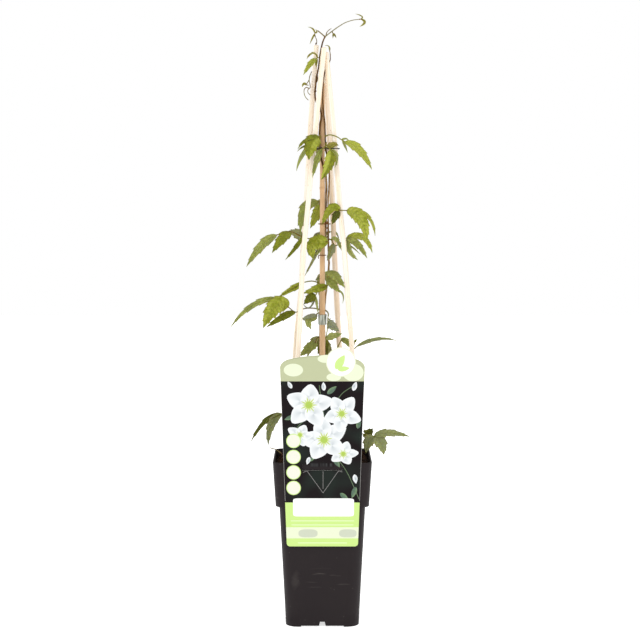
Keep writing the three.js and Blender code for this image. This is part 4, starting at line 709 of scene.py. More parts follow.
def make_pot(look):
    """One skin from the middle of the underside, down inside the skirt, round the feet and notches, up
    the body, out under the band, over the rim and down inside to the floor. Each row is a round-cornered
    square of its own half width, corner radius and height; along the lowest edge the height is a function
    of the place along the side, which gives the feet and the notches."""
    straight_run = POT_SKIRT_HALF - POT_BASE_RADIUS
    foot = FOOT_INNER / straight_run
    low, high = NOTCH_BOTTOM_HALF / straight_run, NOTCH_TOP_HALF / straight_run
    half_side = np.array([high, low, 0.32, 0.5, 0.7, foot - 0.006, foot])
    columns = square_columns(np.concatenate([[-1], -half_side[::-1], [0], half_side, [1]]), 10)
    share, angle = np.abs(columns[2]), columns[3]
    on_foot = (share > foot - 0.003) | (angle > 0)
    edge = np.where(on_foot, 0, np.interp(share, [high, low], [NOTCH_HEIGHT, POT_SKIRT_BOTTOM]))
    foot_out = np.where(on_foot, FOOT_STEP, 0)
    bow = look.side_bow * (1 - np.where(angle > 0, 1, share) ** 2)

    base, rim, foot_of_band = POT_BASE_RADIUS, POT_RIM_RADIUS, POT_RIM_RADIUS + 1
    skirt_inner, base_inner = POT_SKIRT_HALF - POT_WALL, base - POT_WALL
    ledge = POT_BAND_BOTTOM + POT_WALL
    rows = [
        (POINT, POINT, 0), (PAD_RADIUS - 0.5, PAD_RADIUS - 0.5, 0), (PAD_RADIUS, PAD_RADIUS, 0.5),
        (PAD_RADIUS, PAD_RADIUS, POT_FLOOR_BOTTOM), (24, 14, POT_FLOOR_BOTTOM),
        (skirt_inner - 0.6, base_inner, POT_FLOOR_BOTTOM),
        (skirt_inner, base_inner, POT_FLOOR_BOTTOM - 0.1),
        (skirt_inner, base_inner, np.minimum(edge + 0.05, POT_FLOOR_BOTTOM - 0.15)),
        (POT_SKIRT_HALF - 0.3 + foot_out, base, edge), (POT_SKIRT_HALF + foot_out, base, edge + 0.3),
        (POT_BASE_HALF - 0.1 + foot_out * 0.5, base, POT_FLOOR_TOP - 0.4)]
    for part in np.linspace(0, 1, 15):
        height = POT_FLOOR_TOP + part * (POT_BAND_BOTTOM - POT_FLOOR_TOP)
        rows.append((body_half(height) - bow * math.sin(math.pi * part), base - part, height))
    rows += [
        (POT_BAND_HALF + out, foot_of_band, POT_BAND_BOTTOM + up)
        for out, up in ((-0.6, 0), (-0.15, 0.15), (0.03, 0.6))]
    for part in np.linspace(0.1, 0.9, 6):
        height = POT_BAND_BOTTOM + part * (POT_HEIGHT - POT_BAND_BOTTOM)
        rows.append((band_half(height) - 0.5 * bow * math.sin(math.pi * part), foot_of_band - part, height))
    rows.append((POT_RIM_HALF - 0.05, rim, POT_HEIGHT - look.lip))
    for turn in np.array([0.3, 0.6, 0.9]) * math.pi / 2:
        inset = look.lip * (1 - math.cos(turn))
        rows.append((POT_RIM_HALF - inset, rim - inset, POT_HEIGHT - look.lip * (1 - math.sin(turn))))
    rows += [
        (POT_RIM_HALF - POT_WALL + 0.3, rim - POT_WALL + 0.3, POT_HEIGHT),
        (POT_RIM_HALF - POT_WALL, rim - POT_WALL, POT_HEIGHT - 0.3),
        (POT_BAND_HALF - POT_WALL, foot_of_band - POT_WALL, ledge),
        (POT_BODY_HALF - POT_WALL, base - 1 - POT_WALL, ledge),
        (POT_BASE_HALF - POT_WALL, base_inner, POT_FLOOR_TOP), (POINT, POINT, POT_FLOOR_TOP)]
    rows = [np.broadcast_arrays(*row, edge)[:3] for row in rows]
    half, radius, height = (np.stack(part) for part in zip(*rows))
    grid = square_grid(columns, half, radius, height)
    # The pad is round, so its rows follow the direction of each column and not the square.
    heading = unit(square_grid(columns, half[5:6], radius[5:6], height[5:6])[0][:, :2])
    grid[:4, :, :2] = heading * half[:4, :1, None]
    skin = Skin()
    skin.add(grid[:, :-1], wrapped_chart(grid), wrap=True)
    pot = skin.piece("pot_shell", [moulded_plastic(look)], ["pot"], "pot_plastic", sharp=POT_SHARP)

    drills = Skin()
    for middle in DRAIN_RING * unit(np.array([(1, 1), (-1, 1), (-1, -1), (1, -1)])):
        reach = np.array([0.001, DRAIN_RADIUS, DRAIN_RADIUS, 0.001])[:, None, None]
        level = np.repeat([DRAIN_BOTTOM, DRAIN_TOP], 2)[:, None, None] * np.ones((1, 25, 1))
        hole = np.concatenate([middle + reach * circle_points(25), level], axis=2)
        drills.add(hole[:, :-1], wrapped_chart(hole), wrap=True)
    drill = drills.piece("drain_drill", [])
    cut = pot.modifiers.new("drain_holes", "BOOLEAN")
    cut.operation, cut.object, cut.solver = "DIFFERENCE", drill, "EXACT"
    pot.data = bpy.data.meshes.new_from_object(pot.evaluated_get(bpy.context.evaluated_depsgraph_get()))
    pot.modifiers.clear()
    bpy.data.meshes.remove(drill.data)
    pot.data.set_sharp_from_angle(angle=math.radians(POT_SHARP))


def soil_height(x, y):
    """A plane that rises behind the right of the cane, with two slow waves of lumps on it."""
    share = np.clip((x + y * 0.6 + 20) / 90, 0, 1)
    rise = share * share * (3 - 2 * share) * 4.5
    lumps = np.sin(x * 0.31 + 1.3) * np.cos(y * 0.27 - 0.6) * 1.1 + np.sin(x * 0.13 - y * 0.19) * 0.9
    return SOIL_CROWN + rise + lumps


def rough_ground(x, y):
    """Soil height with finer crumbs: three waves of falling length and height, turned across each other."""
    fine = np.zeros_like(x)
    for length, tall, way in ((7.3, 0.5, 0.4), (4.1, 0.35, 1.3), (2.3, 0.25, 2.2)):
        ahead, aside = x * math.cos(way) + y * math.sin(way), x * math.sin(way) - y * math.cos(way)
        fine += tall * np.sin(6.28 * ahead / length + way * 3) * np.cos(5.1 * aside / length)
    return soil_height(x, y) + fine


def make_compost(look):
    """The fill is rows of round-cornered squares that narrow to the middle, with height a function of x
    and y. Crumbs are small globes, r(a, b) = size * (1 + bumps), and fibres are thin bent tubes, all
    scattered by a seeded draw."""
    columns = square_columns(np.linspace(-1, 1, 17), 9)
    inset = POT_WALL + CLEARANCE
    ledge = POT_BAND_BOTTOM + POT_WALL + CLEARANCE
    inner = band_half(SOIL_EDGE) - inset - 0.2
    rows = [
        (POINT, POINT, POT_FLOOR_TOP + CLEARANCE),
        (POT_BASE_HALF - inset, POT_BASE_RADIUS - inset, POT_FLOOR_TOP + CLEARANCE),
        (body_half(ledge) - inset - 0.4, POT_BASE_RADIUS - 1 - inset, ledge),
        (band_half(ledge) - inset - 0.2, POT_RIM_RADIUS + 1 - inset, ledge),
        (inner, POT_RIM_RADIUS - inset, SOIL_EDGE - 0.6)]
    shares = np.concatenate([np.linspace(0.995, 0.03, 46), [0.0003]])
    rows += [(inner * share, (POT_RIM_RADIUS - inset) * share, 0.0) for share in shares]
    half, radius, height = (np.array(part, float) for part in zip(*rows))
    grid = square_grid(columns, half, radius, height)
    top = grid[5:]
    middle = np.clip((1 - shares) / 0.12, 0, 1)[:, None]
    top[..., 2] = SOIL_EDGE + middle * (rough_ground(top[..., 0], top[..., 1]) - SOIL_EDGE)
    skin = Skin()
    skin.add(grid[:, :-1], wrapped_chart(grid), wrap=True)

    draw = np.random.default_rng(7)
    reach = inner - CRUMB_INSET
    places = draw.uniform(-reach, reach, (look.crumbs, 2))
    sizes = CRUMB_LEAST + CRUMB_MORE * draw.random(look.crumbs) ** 3
    ball = globe(np.linspace(0, math.pi, 6)[:, None], np.linspace(0, TURN, 8))
    chart = np.zeros((6, 8, 4))
    for (x, y), across in zip(places, sizes):
        bumps = 1 + CRUMB_BUMPS * draw.standard_normal((6, 8, 1))
        bumps[:, -1] = bumps[:, 0]
        bumps[0], bumps[-1] = bumps[0, 0], bumps[-1, 0]
        stretch = draw.uniform(*CRUMB_STRETCH, 3)
        lump = ball * bumps * stretch * across
        sunk = rough_ground(np.array(x), np.array(y)) + CRUMB_SUNK * across
        skin.add((lump + (x, y, sunk))[:, :-1], chart, mark=(draw.random(), 0, 0, 1), wrap=True)
    for x, y in draw.uniform(-reach, reach, (look.fibres, 2)):
        turn, length = draw.uniform(0, 6.28), draw.uniform(*FIBRE_LENGTHS)
        step = np.array([math.cos(turn), math.sin(turn)]) * length / 3
        side = np.array([-step[1], step[0]]) * draw.uniform(-0.5, 0.5)
        bends = np.array([-step, side * 0.6, step * 0.8, step * 1.4 - side])
        flat = np.clip((x, y) + bends, -reach, reach)
        level = rough_ground(flat[:, 0], flat[:, 1]) + np.array([0.1, 0.9, 1.1, draw.uniform(0.2, 2.0)])
        tube(skin, np.column_stack([flat, level]), FIBRE_RADII, per_span=3, sides=4, mark=(1, 0, 0, 1))
    skin.piece("compost_fill", [damp_compost(look)], ["soil"], "compost", sharp=60)


# ---- slats and cane

STICK_HALF = (3.3, 3.0)
STICK_CORNER = 1.4
# A slat's turn in degrees and the points up its middle, from the top down.
STICKS = {
    "slat_back_left": (0, points("""-7.7 3 736, -14.6 9 641, -20.5 16 540, -25 22 476, -28.9 28 413,
        -34.2 33 361, -41 41 250, -43 43 200, -43.6 43.6 138""")),
    "slat_front_left": (0, points("""2 -8 732, -3.5 -10.8 679, -7.4 -13 641, -17.5 -19.5 540, -23.4 -26 476,
        -27.2 -31 413, -29.8 -35 361, -36 -41 250, -38 -43 200, -40 -43.6 138""")),
    "slat_back_right": (22, points("""3.4 7.5 722, 7.6 13 641, 13 20.5 534, 15.8 27 470, 18.7 32 413,
        21.6 36 361, 27.5 42 250, 29 43 200, 30 43.6 138""")),
    "slat_front_right": (0, points("""4.6 -1 727, 13.1 -9 641, 22 -18 534, 27.7 -23.5 476, 32.3 -29 413,
        36.8 -34 361, 42 -41 250, 43.2 -43 200, 43.6 -43.6 138"""))}
SECTION_SHARES = (0.08, 0.5, 0.92)
SLAT_SCALE, SLAT_WANDER, SLAT_END = 0.97, 0.1, 0.4
# Painted shade on one slat: which slat, how dark, the height it starts below and how far it fades in.
SHADED_SLAT, SLAT_SHADE, SLAT_SHADE_TOP, SLAT_SHADE_FADE = "slat_back_right", 0.3, 600, 90
CUT_STAIN, GRAIN_SHIFT = 0.8, 31


def make_slats(look):
    """Each slat is a level section carried up a smooth line. The section is a rectangle with cut corners,
    given as a polygon of 8 corners with three points on each edge, and it wanders by a tenth of a
    millimetre along the slat, as split wood does."""
    wood = split_pine(look)
    x, y = STICK_HALF
    cut_x, cut_y = x - STICK_CORNER, y - STICK_CORNER
    right = np.array([(cut_x, -y), (x, -cut_y), (x, cut_y), (cut_x, y)])
    corners = np.roll(np.concatenate([right, -right]), -1, axis=0)
    onward = np.roll(corners, -1, axis=0)
    section = np.stack([corners + share * (onward - corners) for share in SECTION_SHARES], axis=1)
    section = closed_up(section.reshape(-1, 2))
    around = run_length(section)
    for number, (name, (turn, rows)) in enumerate(STICKS.items()):
        line = smooth_line(rows[::-1], 14)
        along = run_length(line)[:, None]
        wander = np.sin(along / 23 + number + around / 3) + np.sin(along / 57 + 2 * number)
        scale = SLAT_SCALE + SLAT_WANDER * wander / x * 0.25
        line = capped(capped(line))
        scale = np.concatenate([0 * scale[:1], 0.9 * scale[:1], scale, 0.9 * scale[-1:], 0 * scale[-1:]])
        line[1:3, 2] += 0, SLAT_END
        line[-3:-1, 2] += -SLAT_END, 0
        level = np.repeat(line[:, 2:], len(section), axis=1)
        flat = line[:, None, :2] + scale[..., None] * turned(section, turn)
        grid = np.concatenate([flat, level[..., None]], axis=2)
        chart = chart_of(around / 100, level / 100, around + GRAIN_SHIFT * number, level)
        mark = np.zeros(grid.shape[:2] + (4,))
        # One slat is darkened lower down by painted shade from the leaves, and the top ends show their cut
        # grain.
        if name == SHADED_SLAT:
            mark[..., 0] = SLAT_SHADE * np.clip((SLAT_SHADE_TOP - level) / SLAT_SHADE_FADE, 0, 1)
        mark[-2:, :, 0] = CUT_STAIN
        skin = Skin()
        skin.add(grid[:, :-1], chart, mark=mark, wrap=True)
        skin.piece(name + "_wood", [wood], [name], "slat_wood", sharp=25)


CANE_FOOT, CANE_TOP = 50, 688
CANE_RADIUS = (4.2, 2.8)
CANE_NODES = np.array([236, 398, 556])
CANE_HOLLOW_DEPTH = 6.0
# Heights of the rings around each joint, over its middle.
JOINT_STEPS = np.array([-14, -8, -5, -3, -1.8, -1, -0.5, 0, 0.5, 1, 1.5, 2.1, 2.8, 4, 6, 9, 14])
JOINT_STAIN, TOP_STAIN = 0.16, 0.4


def make_cane(look):
    """A surface of revolution: radius = taper + swelling at each joint - groove just over it, with a thin
    scar line, and a little out of round. It ends in a shallow hollow."""
    joints = (CANE_NODES[:, None] + JOINT_STEPS).ravel()
    heights = np.unique(np.concatenate([np.linspace(CANE_FOOT, CANE_TOP, 62), joints]))
    taper = np.interp(heights, [CANE_FOOT, CANE_TOP], CANE_RADIUS)
    away = heights[:, None] - CANE_NODES
    # The swelling, the groove and the scar: how tall, how far over the joint and how long.
    rings = ((0.45, 0, 3.2), (-look.node_groove, 1.6, 0.5), (0.12, -0.3, 0.4))
    swell = sum(tall * np.exp(-((away - rise) / reach) ** 2) for tall, rise, reach in rings).sum(axis=1)
    angle = np.linspace(0, TURN, 29)
    radius = (taper + swell)[:, None] * (1 + 0.012 * np.cos(2 * angle + heights[:, None] / 90))
    hollow = np.array([0.97, 0.85, 0.42, 0.42, 0.001])
    radius = np.concatenate([radius[:1] * 0.001, radius[:1] * 0.95, radius, radius[-1:] * hollow[:, None]])
    depth = np.array([0, 0, 0.1, CANE_HOLLOW_DEPTH, CANE_HOLLOW_DEPTH])
    heights = np.concatenate([[CANE_FOOT, CANE_FOOT], heights, CANE_TOP - depth])
    joint = np.exp(-np.abs(heights[:, None] - CANE_NODES) / 3.5).max(axis=1)
    level = np.repeat(heights[:, None], len(angle), axis=1)
    grid = np.stack([radius * np.cos(angle), radius * np.sin(angle), level], axis=2)
    chart = chart_of(angle / TURN, level / CANE_TOP, angle * CANE_RADIUS[0], level)
    mark = np.zeros(grid.shape[:2] + (4,))
    mark[..., 0] = JOINT_STAIN * joint[:, None]
    mark[-len(hollow):, :, 0] = TOP_STAIN
    skin = Skin()
    skin.add(grid[:, :-1], chart, mark=mark, wrap=True)
    skin.piece("cane_culm", [bamboo_cane(look)], ["cane"], "bamboo", sharp=50)


# ---- ties

# A tie's slot, its closed loop with its radius, and its loose end with the radii of that.
TIES = {
    "wire_tie": ("tie_wire", points("""-15.6 -19.4, -7 -19.5, 12 -17.9, 20.7 -17.4, 21.2 -9, 15 17.4,
        12.6 21.2, 7 21.4, -14 16.8, -20.8 16.4, -21 9, -16.4 -12""", 605), 0.6,
        points("""0 -18.9 605, -2 -20.4 606.6, -6 -21 607.4, -11 -21.2 607, -12.8 -21.2 604.8,
        -10.8 -21.2 603, -8 -21 603.4"""), (0.7, 0.45)),
    "cane_clip": ("woody_stem", points("""0 -4.5, 5 -4, 9.2 -1.8, 9.8 1.4, 6.4 5.8, 2 6.2, -3 4.2, -4.6 0,
        -3.2 -3.6""", 510), 0.7,
        points("""5 -4 510, 6.4 -5.2 512.6, 7.6 -5.4 509, 6.2 -5.4 505, 4.4 -5.2 503"""), (0.9, 0.6)),
    "cane_ring": ("woody_stem", points("""0 -4.7, 3.4 -3.4, 4.7 0, 4.4 6, 1.2 9.3, -2.4 8, -4.7 2,
        -4 -2.8""", 470), 0.5,
        points("""-4 -2.8 470, -5.2 -3.6 468.6, -4.8 -4.2 466"""), (0.6, 0.5))}
TAPE_OUTLINE = points("0 -4.2, 4.2 -1, 5 4.6, 4 9.3, -3.6 9.2, -4.9 4.6, -4.2 -1", 0)
TAPE_WALL, TAPE_BOTTOM, TAPE_TOP, TAPE_LIP, TAPE_ROWS, TAPE_WAVES = 0.6, 381, 394, 0.15, 14, (0.07, 0.05)


def make_ties(look):
    """Wires are tubes round a closed line and along a loose end. The tape is a section that runs up the
    outer face and down the inner one, carried round its outline: outline + wall * out, where the wall
    waves a little with height and angle and is nothing on the inner face."""
    wire = coated_wire("coated_tie_wire", look.wire, "#8d857c", 0.38)
    clip = coated_wire("rusted_clip_wire", look.clip, "#9a7350", 0.5)
    for name, (slot, loop, loop_radius, tail, tail_radii) in TIES.items():
        skin = Skin()
        tube(skin, loop, loop_radius, per_span=8, sides=12, closed=True)
        tube(skin, tail, tail_radii, per_span=8, sides=12,
             relief=lambda angle, along: 1 + 0.16 * np.cos(2 * angle + along * 1.7))
        skin.piece(name + "_wire", [wire if name == "wire_tie" else clip], [name], slot)

    line = smooth_line(TAPE_OUTLINE, 12, closed=True)
    tangent = closed_up(unit(np.roll(line, -1, axis=0) - np.roll(line, 1, axis=0)))
    line = closed_up(line)
    out = np.stack([tangent[:, 1], -tangent[:, 0], 0 * tangent[:, 0]], axis=1)
    around = run_length(line)[:, None]
    levels = np.linspace(TAPE_BOTTOM + TAPE_LIP, TAPE_TOP - TAPE_LIP, TAPE_ROWS)
    heights = np.concatenate([[TAPE_BOTTOM], levels, [TAPE_TOP, TAPE_TOP], levels[::-1], [TAPE_BOTTOM]])
    outside = np.concatenate([[0.3], np.ones(TAPE_ROWS), [0.7, 0.3], np.zeros(TAPE_ROWS + 1)])
    turn = around / around[-1] * TURN
    slow, quick = TAPE_WAVES
    wave = slow * np.sin(6 * turn + heights / 2.1) + quick * np.sin(17 * turn - heights / 1.3)
    offset = outside * (TAPE_WALL - slow - quick + wave)
    grid = line[:, None] + offset[..., None] * out[:, None]
    grid[..., 2] = heights
    chart = chart_of(around / 100, heights / 100, around, heights)
    skin = Skin()
    skin.add(grid, np.concatenate([chart, chart[:, :1]], axis=1), wrap=True)
    skin.piece("cane_tape_band", [grafting_tape(look)], ["cane_tape"], "tape", sharp=60)


# ---- label

LABEL_THICKNESS, LABEL_TOP_HALF, LABEL_BOTTOM_HALF, LABEL_CORNER = 0.8, 52.6, 44.7, 4.0
LABEL_SHOULDER, LABEL_CROWN, LABEL_BOTTOM = 127, 136, -106.5
LABEL_SLOT_TOP, LABEL_SLOT_BOTTOM, LABEL_SLOT_HALF = -1.2, -8.9, 24.9
BADGE_X, BADGE_Y, BADGE_RADIUS = 22.9, 128, 18.5
TONGUE_HALF, TONGUE_LENGTH, TONGUE_WALL_HALF = 15, 9, 0.36
LABEL_LEAN = math.atan2(POT_RIM_HALF - POT_BAND_HALF, POT_HEIGHT - POT_BAND_BOTTOM)
CARD_FACE = 0.7
WORN_HALF = 0.22
CORE_HALF = 40  # the columns between these sides stay upright
COLUMN_STRETCH = np.array([0.14, 0.28, 0.42, 0.56, 0.68, 0.78, 0.86, 0.92, 0.965, 0.99, 1.0])
SIDE_FOOT = LABEL_SHOULDER - 6
NIGHT_FOOT, NIGHT_TOP = -50.5, 103.7
PALE_BAND = (-96.8, -82.6)


def on_label(across, along, out):
    """Points of the leaned label from across, along and out in millimetres: along runs up the plate from
    the rim and out is the distance forward of the plate's back."""
    across, along, out = np.broadcast_arrays(across, along, out)
    y = -(POT_RIM_HALF + CLEARANCE) - along * math.sin(LABEL_LEAN) - out * math.cos(LABEL_LEAN)
    z = POT_HEIGHT + along * math.cos(LABEL_LEAN) - out * math.sin(LABEL_LEAN)
    return np.stack([across, y, z], axis=-1)


def label_half(along):
    """Half width of the card, a straight line from its lower edge to its shoulder."""
    return np.interp(along, [LABEL_BOTTOM, SIDE_FOOT], [LABEL_BOTTOM_HALF, LABEL_TOP_HALF])


def quadratic(start, bend, end, t):
    """The curve (1-t)^2 start + 2t(1-t) bend + t^2 end, one row for each t."""
    t = t[:, None]
    return (1 - t) ** 2 * np.array(start) + 2 * t * (1 - t) * np.array(bend) + t ** 2 * np.array(end)


# The rows of a printed shape: share of the outline, share of the layer's height, depth in the card.
PRINT_ROWS = np.array(points("""
    .001 1 0, .35 1 0, .65 1 0, .88 1 0, 1 .96 0, 1 0 .2, .001 0 .2""")).T


def print_shape(skin, outline, tone, layer, middle=None, shade=None):
    """A printed shape: the outline shrinks towards its middle over five rows, proud of the card by its
    layer, and two more rows close it inside the card. shade is a second tone and amount(share, turn)."""
    outline = closed_up(outline)
    middle = outline[:-1].mean(axis=0) if middle is None else middle
    shares, proud, depth = PRINT_ROWS
    flat = middle + shares[:, None, None] * (outline - middle)
    grid = on_label(flat[..., 0], flat[..., 1], (CARD_FACE + proud * layer - depth)[:, None])
    mark = np.ones(flat.shape[:2] + (4,))
    mark[..., :3] = tone
    if shade is not None:
        second, amount = shade
        turn = np.linspace(0, TURN, len(outline))
        weight = np.clip(amount(shares[:, None], turn), 0, 1)[..., None]
        mark[..., :3] = mark[..., :3] * (1 - weight) + np.array(second) * weight
    skin.add(grid[:, :-1], flat_chart(flat), mark=mark, wrap=True, slot=2)


def print_stroke(skin, ends, sides, tone, layer):
    """A printed line between two points, each moved to both its sides."""
    (start, end), (aside, far_aside) = np.array(ends, float), np.array(sides)
    outline = np.array([start + aside, start - aside, end - far_aside, end + far_aside])
    print_shape(skin, outline, tone, layer)


def round_outline(x, y, across, tall=None, count=36, power=2.0):
    """An oval, or with a higher power a rounded oblong: |x/a|^p + |y/b|^p = 1."""
    circle = circle_points(count + 1)[:-1]
    return (x, y) + np.array([across, tall or across]) * np.sign(circle) * np.abs(circle) ** (2 / power)


def petal_outline(x, y, heading, length, width, notch=0.0):
    """A petal from its claw: half width = width / 2 * sin(pi s^0.8)^0.8 at share s of its length, with a
    small notch at the end. It is turned by its heading in degrees."""
    share = np.linspace(0, 1, 13)
    half = width / 2 * np.sin(math.pi * share ** 0.8) ** 0.8
    half[-1] = 0
    reach = share * length - notch * length * (share > 0.98)
    there, back = np.stack([reach, half], axis=1), np.stack([reach, -half], axis=1)
    return turned(np.concatenate([there, back[-2:0:-1]]), heading) + (x, y)


# Blossoms as x, y, radius, turn in degrees and flattening; buds and leaves as x, y, heading, length.
BLOSSOMS = points("-17 74 32 12 .92, 24 63 25 50 1, 2 30 32 30 .95, 26 12 20 5 .8, -28 36 18 70 .85")
BUDS = points("38 92 70 12, -38 95 120 10, 2 92 95 11, -16 8 250 10, 40 -14 280 12")
SPRIG_LEAVES = points("""-2 62 160 17, 6 88 40 15, 44 44 80 14, -35 60 200 13, 14 8 300 15, -8 12 230 13,
    42 -30 250 15, 22 -38 320 14""")
# Widths of a sprig's leaf, of a bud and of a petal, as shares of their length or the blossom's radius.
SPRIG_HALF, LEAF_WIDTH, BUD_WIDTH, PETAL_WIDTH, PETAL_NOTCH = 0.45, 0.42, 0.5, 0.72, 0.04
# Petals in the order they lie in, and the stamens: how many, how long by turns, how wide; then the eye.
PETAL_ORDER = (1, 3, 0, 2, 4)
STAMENS, STAMEN_LENGTHS, STAMEN_WIDTH, EYE = 14, (0.34, 0.26), 0.06, 0.13
SPRIGS = [points(line) for line in (
    "-44 30, -20 56, 4 60, 24 88, 38 98", "46 -46, 30 -10, 12 16, 4 40", "2 60, -2 84, -4 99")]


def petal_shade(share, turn):
    """A petal is shaded towards its middle, more on two of its sides."""
    return 0.55 * (1 - share) ** 0.7 * (0.6 + 0.4 * np.sin(turn * 2))


def draw_blossoms(skin, look, relief):
    """Sprigs are strokes along smooth lines with leaves and buds on them. A blossom is five petals round
    its middle, each turned and stretched a little, with fourteen stamens over them."""
    shadow, heart, sprig = linear("#85949b"), linear("#b4c468"), linear("#55684a")
    for rows in SPRIGS:
        line, side = flat_line(rows, 6)
        for step in range(len(line) - 1):
            both = slice(step, step + 2)
            print_stroke(skin, line[both], SPRIG_HALF * side[both], sprig, 0.3 * relief)
    for *place, length in SPRIG_LEAVES:
        print_shape(skin, petal_outline(*place, length, length * LEAF_WIDTH), linear("#4c6350"),
                    0.5 * relief,
                    shade=(linear("#7f9a6b"), lambda share, turn: 0.5 * (np.sin(turn) > 0) * share))
    for *place, length in BUDS:
        print_shape(skin, petal_outline(*place, length, length * BUD_WIDTH), look.petal, 0.7 * relief,
                    shade=(shadow, lambda share, turn: 0.7 * (1 - share) + 0.2 * np.sin(turn)))
    for count, (x, y, radius, turn, squash) in enumerate(BLOSSOMS):
        for number in PETAL_ORDER:
            heading = turn + 360 / len(PETAL_ORDER) * number + 5 * math.sin(3 * number + count)
            length = radius * (1 + 0.07 * math.sin(5 * number + count))
            ring = petal_outline(0, 0, heading, length, radius * PETAL_WIDTH, PETAL_NOTCH) * (1, squash)
            print_shape(
                skin, ring + (x, y), look.petal, (0.75 + 0.03 * number) * relief,
                ring.mean(axis=0) * 0.8 + (x, y), (shadow, petal_shade))
        for number in range(STAMENS):
            heading = math.degrees(number / STAMENS * TURN + count)
            length = radius * STAMEN_LENGTHS[number % 2]
            stamen = petal_outline(x, y, heading, length, radius * STAMEN_WIDTH)
            print_shape(skin, stamen, heart, 0.93 * relief)
        print_shape(skin, round_outline(x, y, radius * EYE, count=16), linear("#9fb84e"), relief)


# Leaves of the badge's motif: x and y from its middle, heading, length and width.
MOTIF = points("-6.5 -9 58 21 10, -4 -9.5 8 15 6.5")
# Ovals as x, y, half width and half height.
PALE_OVALS = points("-36 118 12 8, 4 132 10 5, 38 108 13 11, 14 109 9 5")
ROUNDELS = points("-36 28.6, -36 8.2, -36 -11.5, -36 -31.3")
LINES = points("0 -73.6 40 .4, 0 -78.8 39 .4, 0 -102 31 .4")
BUTTONS = points("-18 -89.7 12 5.2, 32 -89.7 11 5.2")
# Creases and worn edges of the card, from point to point.
CREASES = points("""-24.2 -11.5 -19.2 -9.6, -19.2 -9.6 .8 -37.7, .8 -37.7 20.1 -9.6, 20.1 -9.6 25.1 -10.9,
    .8 -10 .8 -32.6, -51.6 99 -46.6 -48, 51.6 99 46.6 -48""")
# The tongue's middle line, out and along from the card over the rim.
TONGUE_REACH = POT_WALL + 2 * CLEARANCE
TONGUE_LINE = [
    (CARD_FACE - 0.25, -4.0), (CARD_FACE - 0.25, -1.4), (CARD_FACE - 0.3, -0.2), (0, 0.75), (-0.8, 0.82),
    (-1.9, 0.8), (-TONGUE_REACH - 0.15, 0.5), (-TONGUE_REACH - 0.4, -0.6), (-TONGUE_REACH - 0.42, -3),
    (-TONGUE_REACH - 0.42, 0.4 + LABEL_THICKNESS - TONGUE_LENGTH)]


def make_card(look):
    """A grid of across and along: across is even near the middle and stretches to the slanted sides, and
    along runs up to a top edge that is a function of across. Faces inside the slot are left out, and
    Solidify gives the card its back."""
    core = np.concatenate([np.linspace(-CORE_HALF, CORE_HALF, 33), [-LABEL_SLOT_HALF, LABEL_SLOT_HALF]])
    outer = CORE_HALF + (LABEL_TOP_HALF - CORE_HALF) * COLUMN_STRETCH
    across = np.concatenate([-outer[::-1], np.unique(core), outer])
    rise = np.linspace(0, 1, 8)[1:, None]
    low = LABEL_BOTTOM + np.array([0, 0.15, 0.5, 1.1, 2.0, 3.0, LABEL_CORNER])
    body = np.concatenate([
        np.linspace(LABEL_BOTTOM + 8, SIDE_FOOT, 58), [LABEL_SLOT_BOTTOM, LABEL_SLOT_TOP]])
    along = np.concatenate([low, np.unique(body), np.full(len(rise), float(SIDE_FOOT))])
    half = label_half(along)
    half[:len(low)] -= LABEL_CORNER - np.sqrt(LABEL_CORNER ** 2 - (LABEL_CORNER - low + LABEL_BOTTOM) ** 2)
    stretch = (np.abs(across) - CORE_HALF).clip(0) / (LABEL_TOP_HALF - CORE_HALF)
    x = np.clip(across, -CORE_HALF, CORE_HALF) + np.sign(across) * stretch * (half[:, None] - CORE_HALF)
    y = np.repeat(along[:, None], len(across), axis=1)
    shoulder = (LABEL_TOP_HALF - 9, LABEL_SHOULDER + 4)
    corner = (LABEL_TOP_HALF, LABEL_SHOULDER)
    top_right = quadratic((LABEL_TOP_HALF, SIDE_FOOT), corner, shoulder, np.linspace(0, 1, 9))
    top_left = top_right[::-1] * (-1, 1)
    crown = (4, 2 * LABEL_CROWN - LABEL_SHOULDER - 3)
    arch = quadratic(shoulder, crown, top_left[0], np.linspace(0, 1, 30))
    edge = np.concatenate([top_right, arch[1:-1], top_left])[::-1]
    y[-len(rise):] += rise * (np.interp(across, edge[:, 0], edge[:, 1]) - SIDE_FOOT)
    middle_x, middle_y = (x[:-1, :-1] + x[1:, 1:]) / 2, (y[:-1, :-1] + y[1:, 1:]) / 2
    in_height = (middle_y > LABEL_SLOT_BOTTOM) & (middle_y < LABEL_SLOT_TOP)
    slot = (np.abs(middle_x) < LABEL_SLOT_HALF) & in_height
    skin = Skin()
    skin.add(on_label(x, y, CARD_FACE), flat_chart(np.stack([x, y], axis=2)), keep=~slot)
    plate = skin.piece(
        "label_card", [printed_card(look), bare_card(look)], ["label"], "printed_card", sharp=30,
        closed=False)
    wall = plate.modifiers.new("card_thickness", "SOLIDIFY")
    wall.thickness, wall.offset = CARD_FACE * MM, -1
    wall.material_offset, wall.material_offset_rim = 1, 1


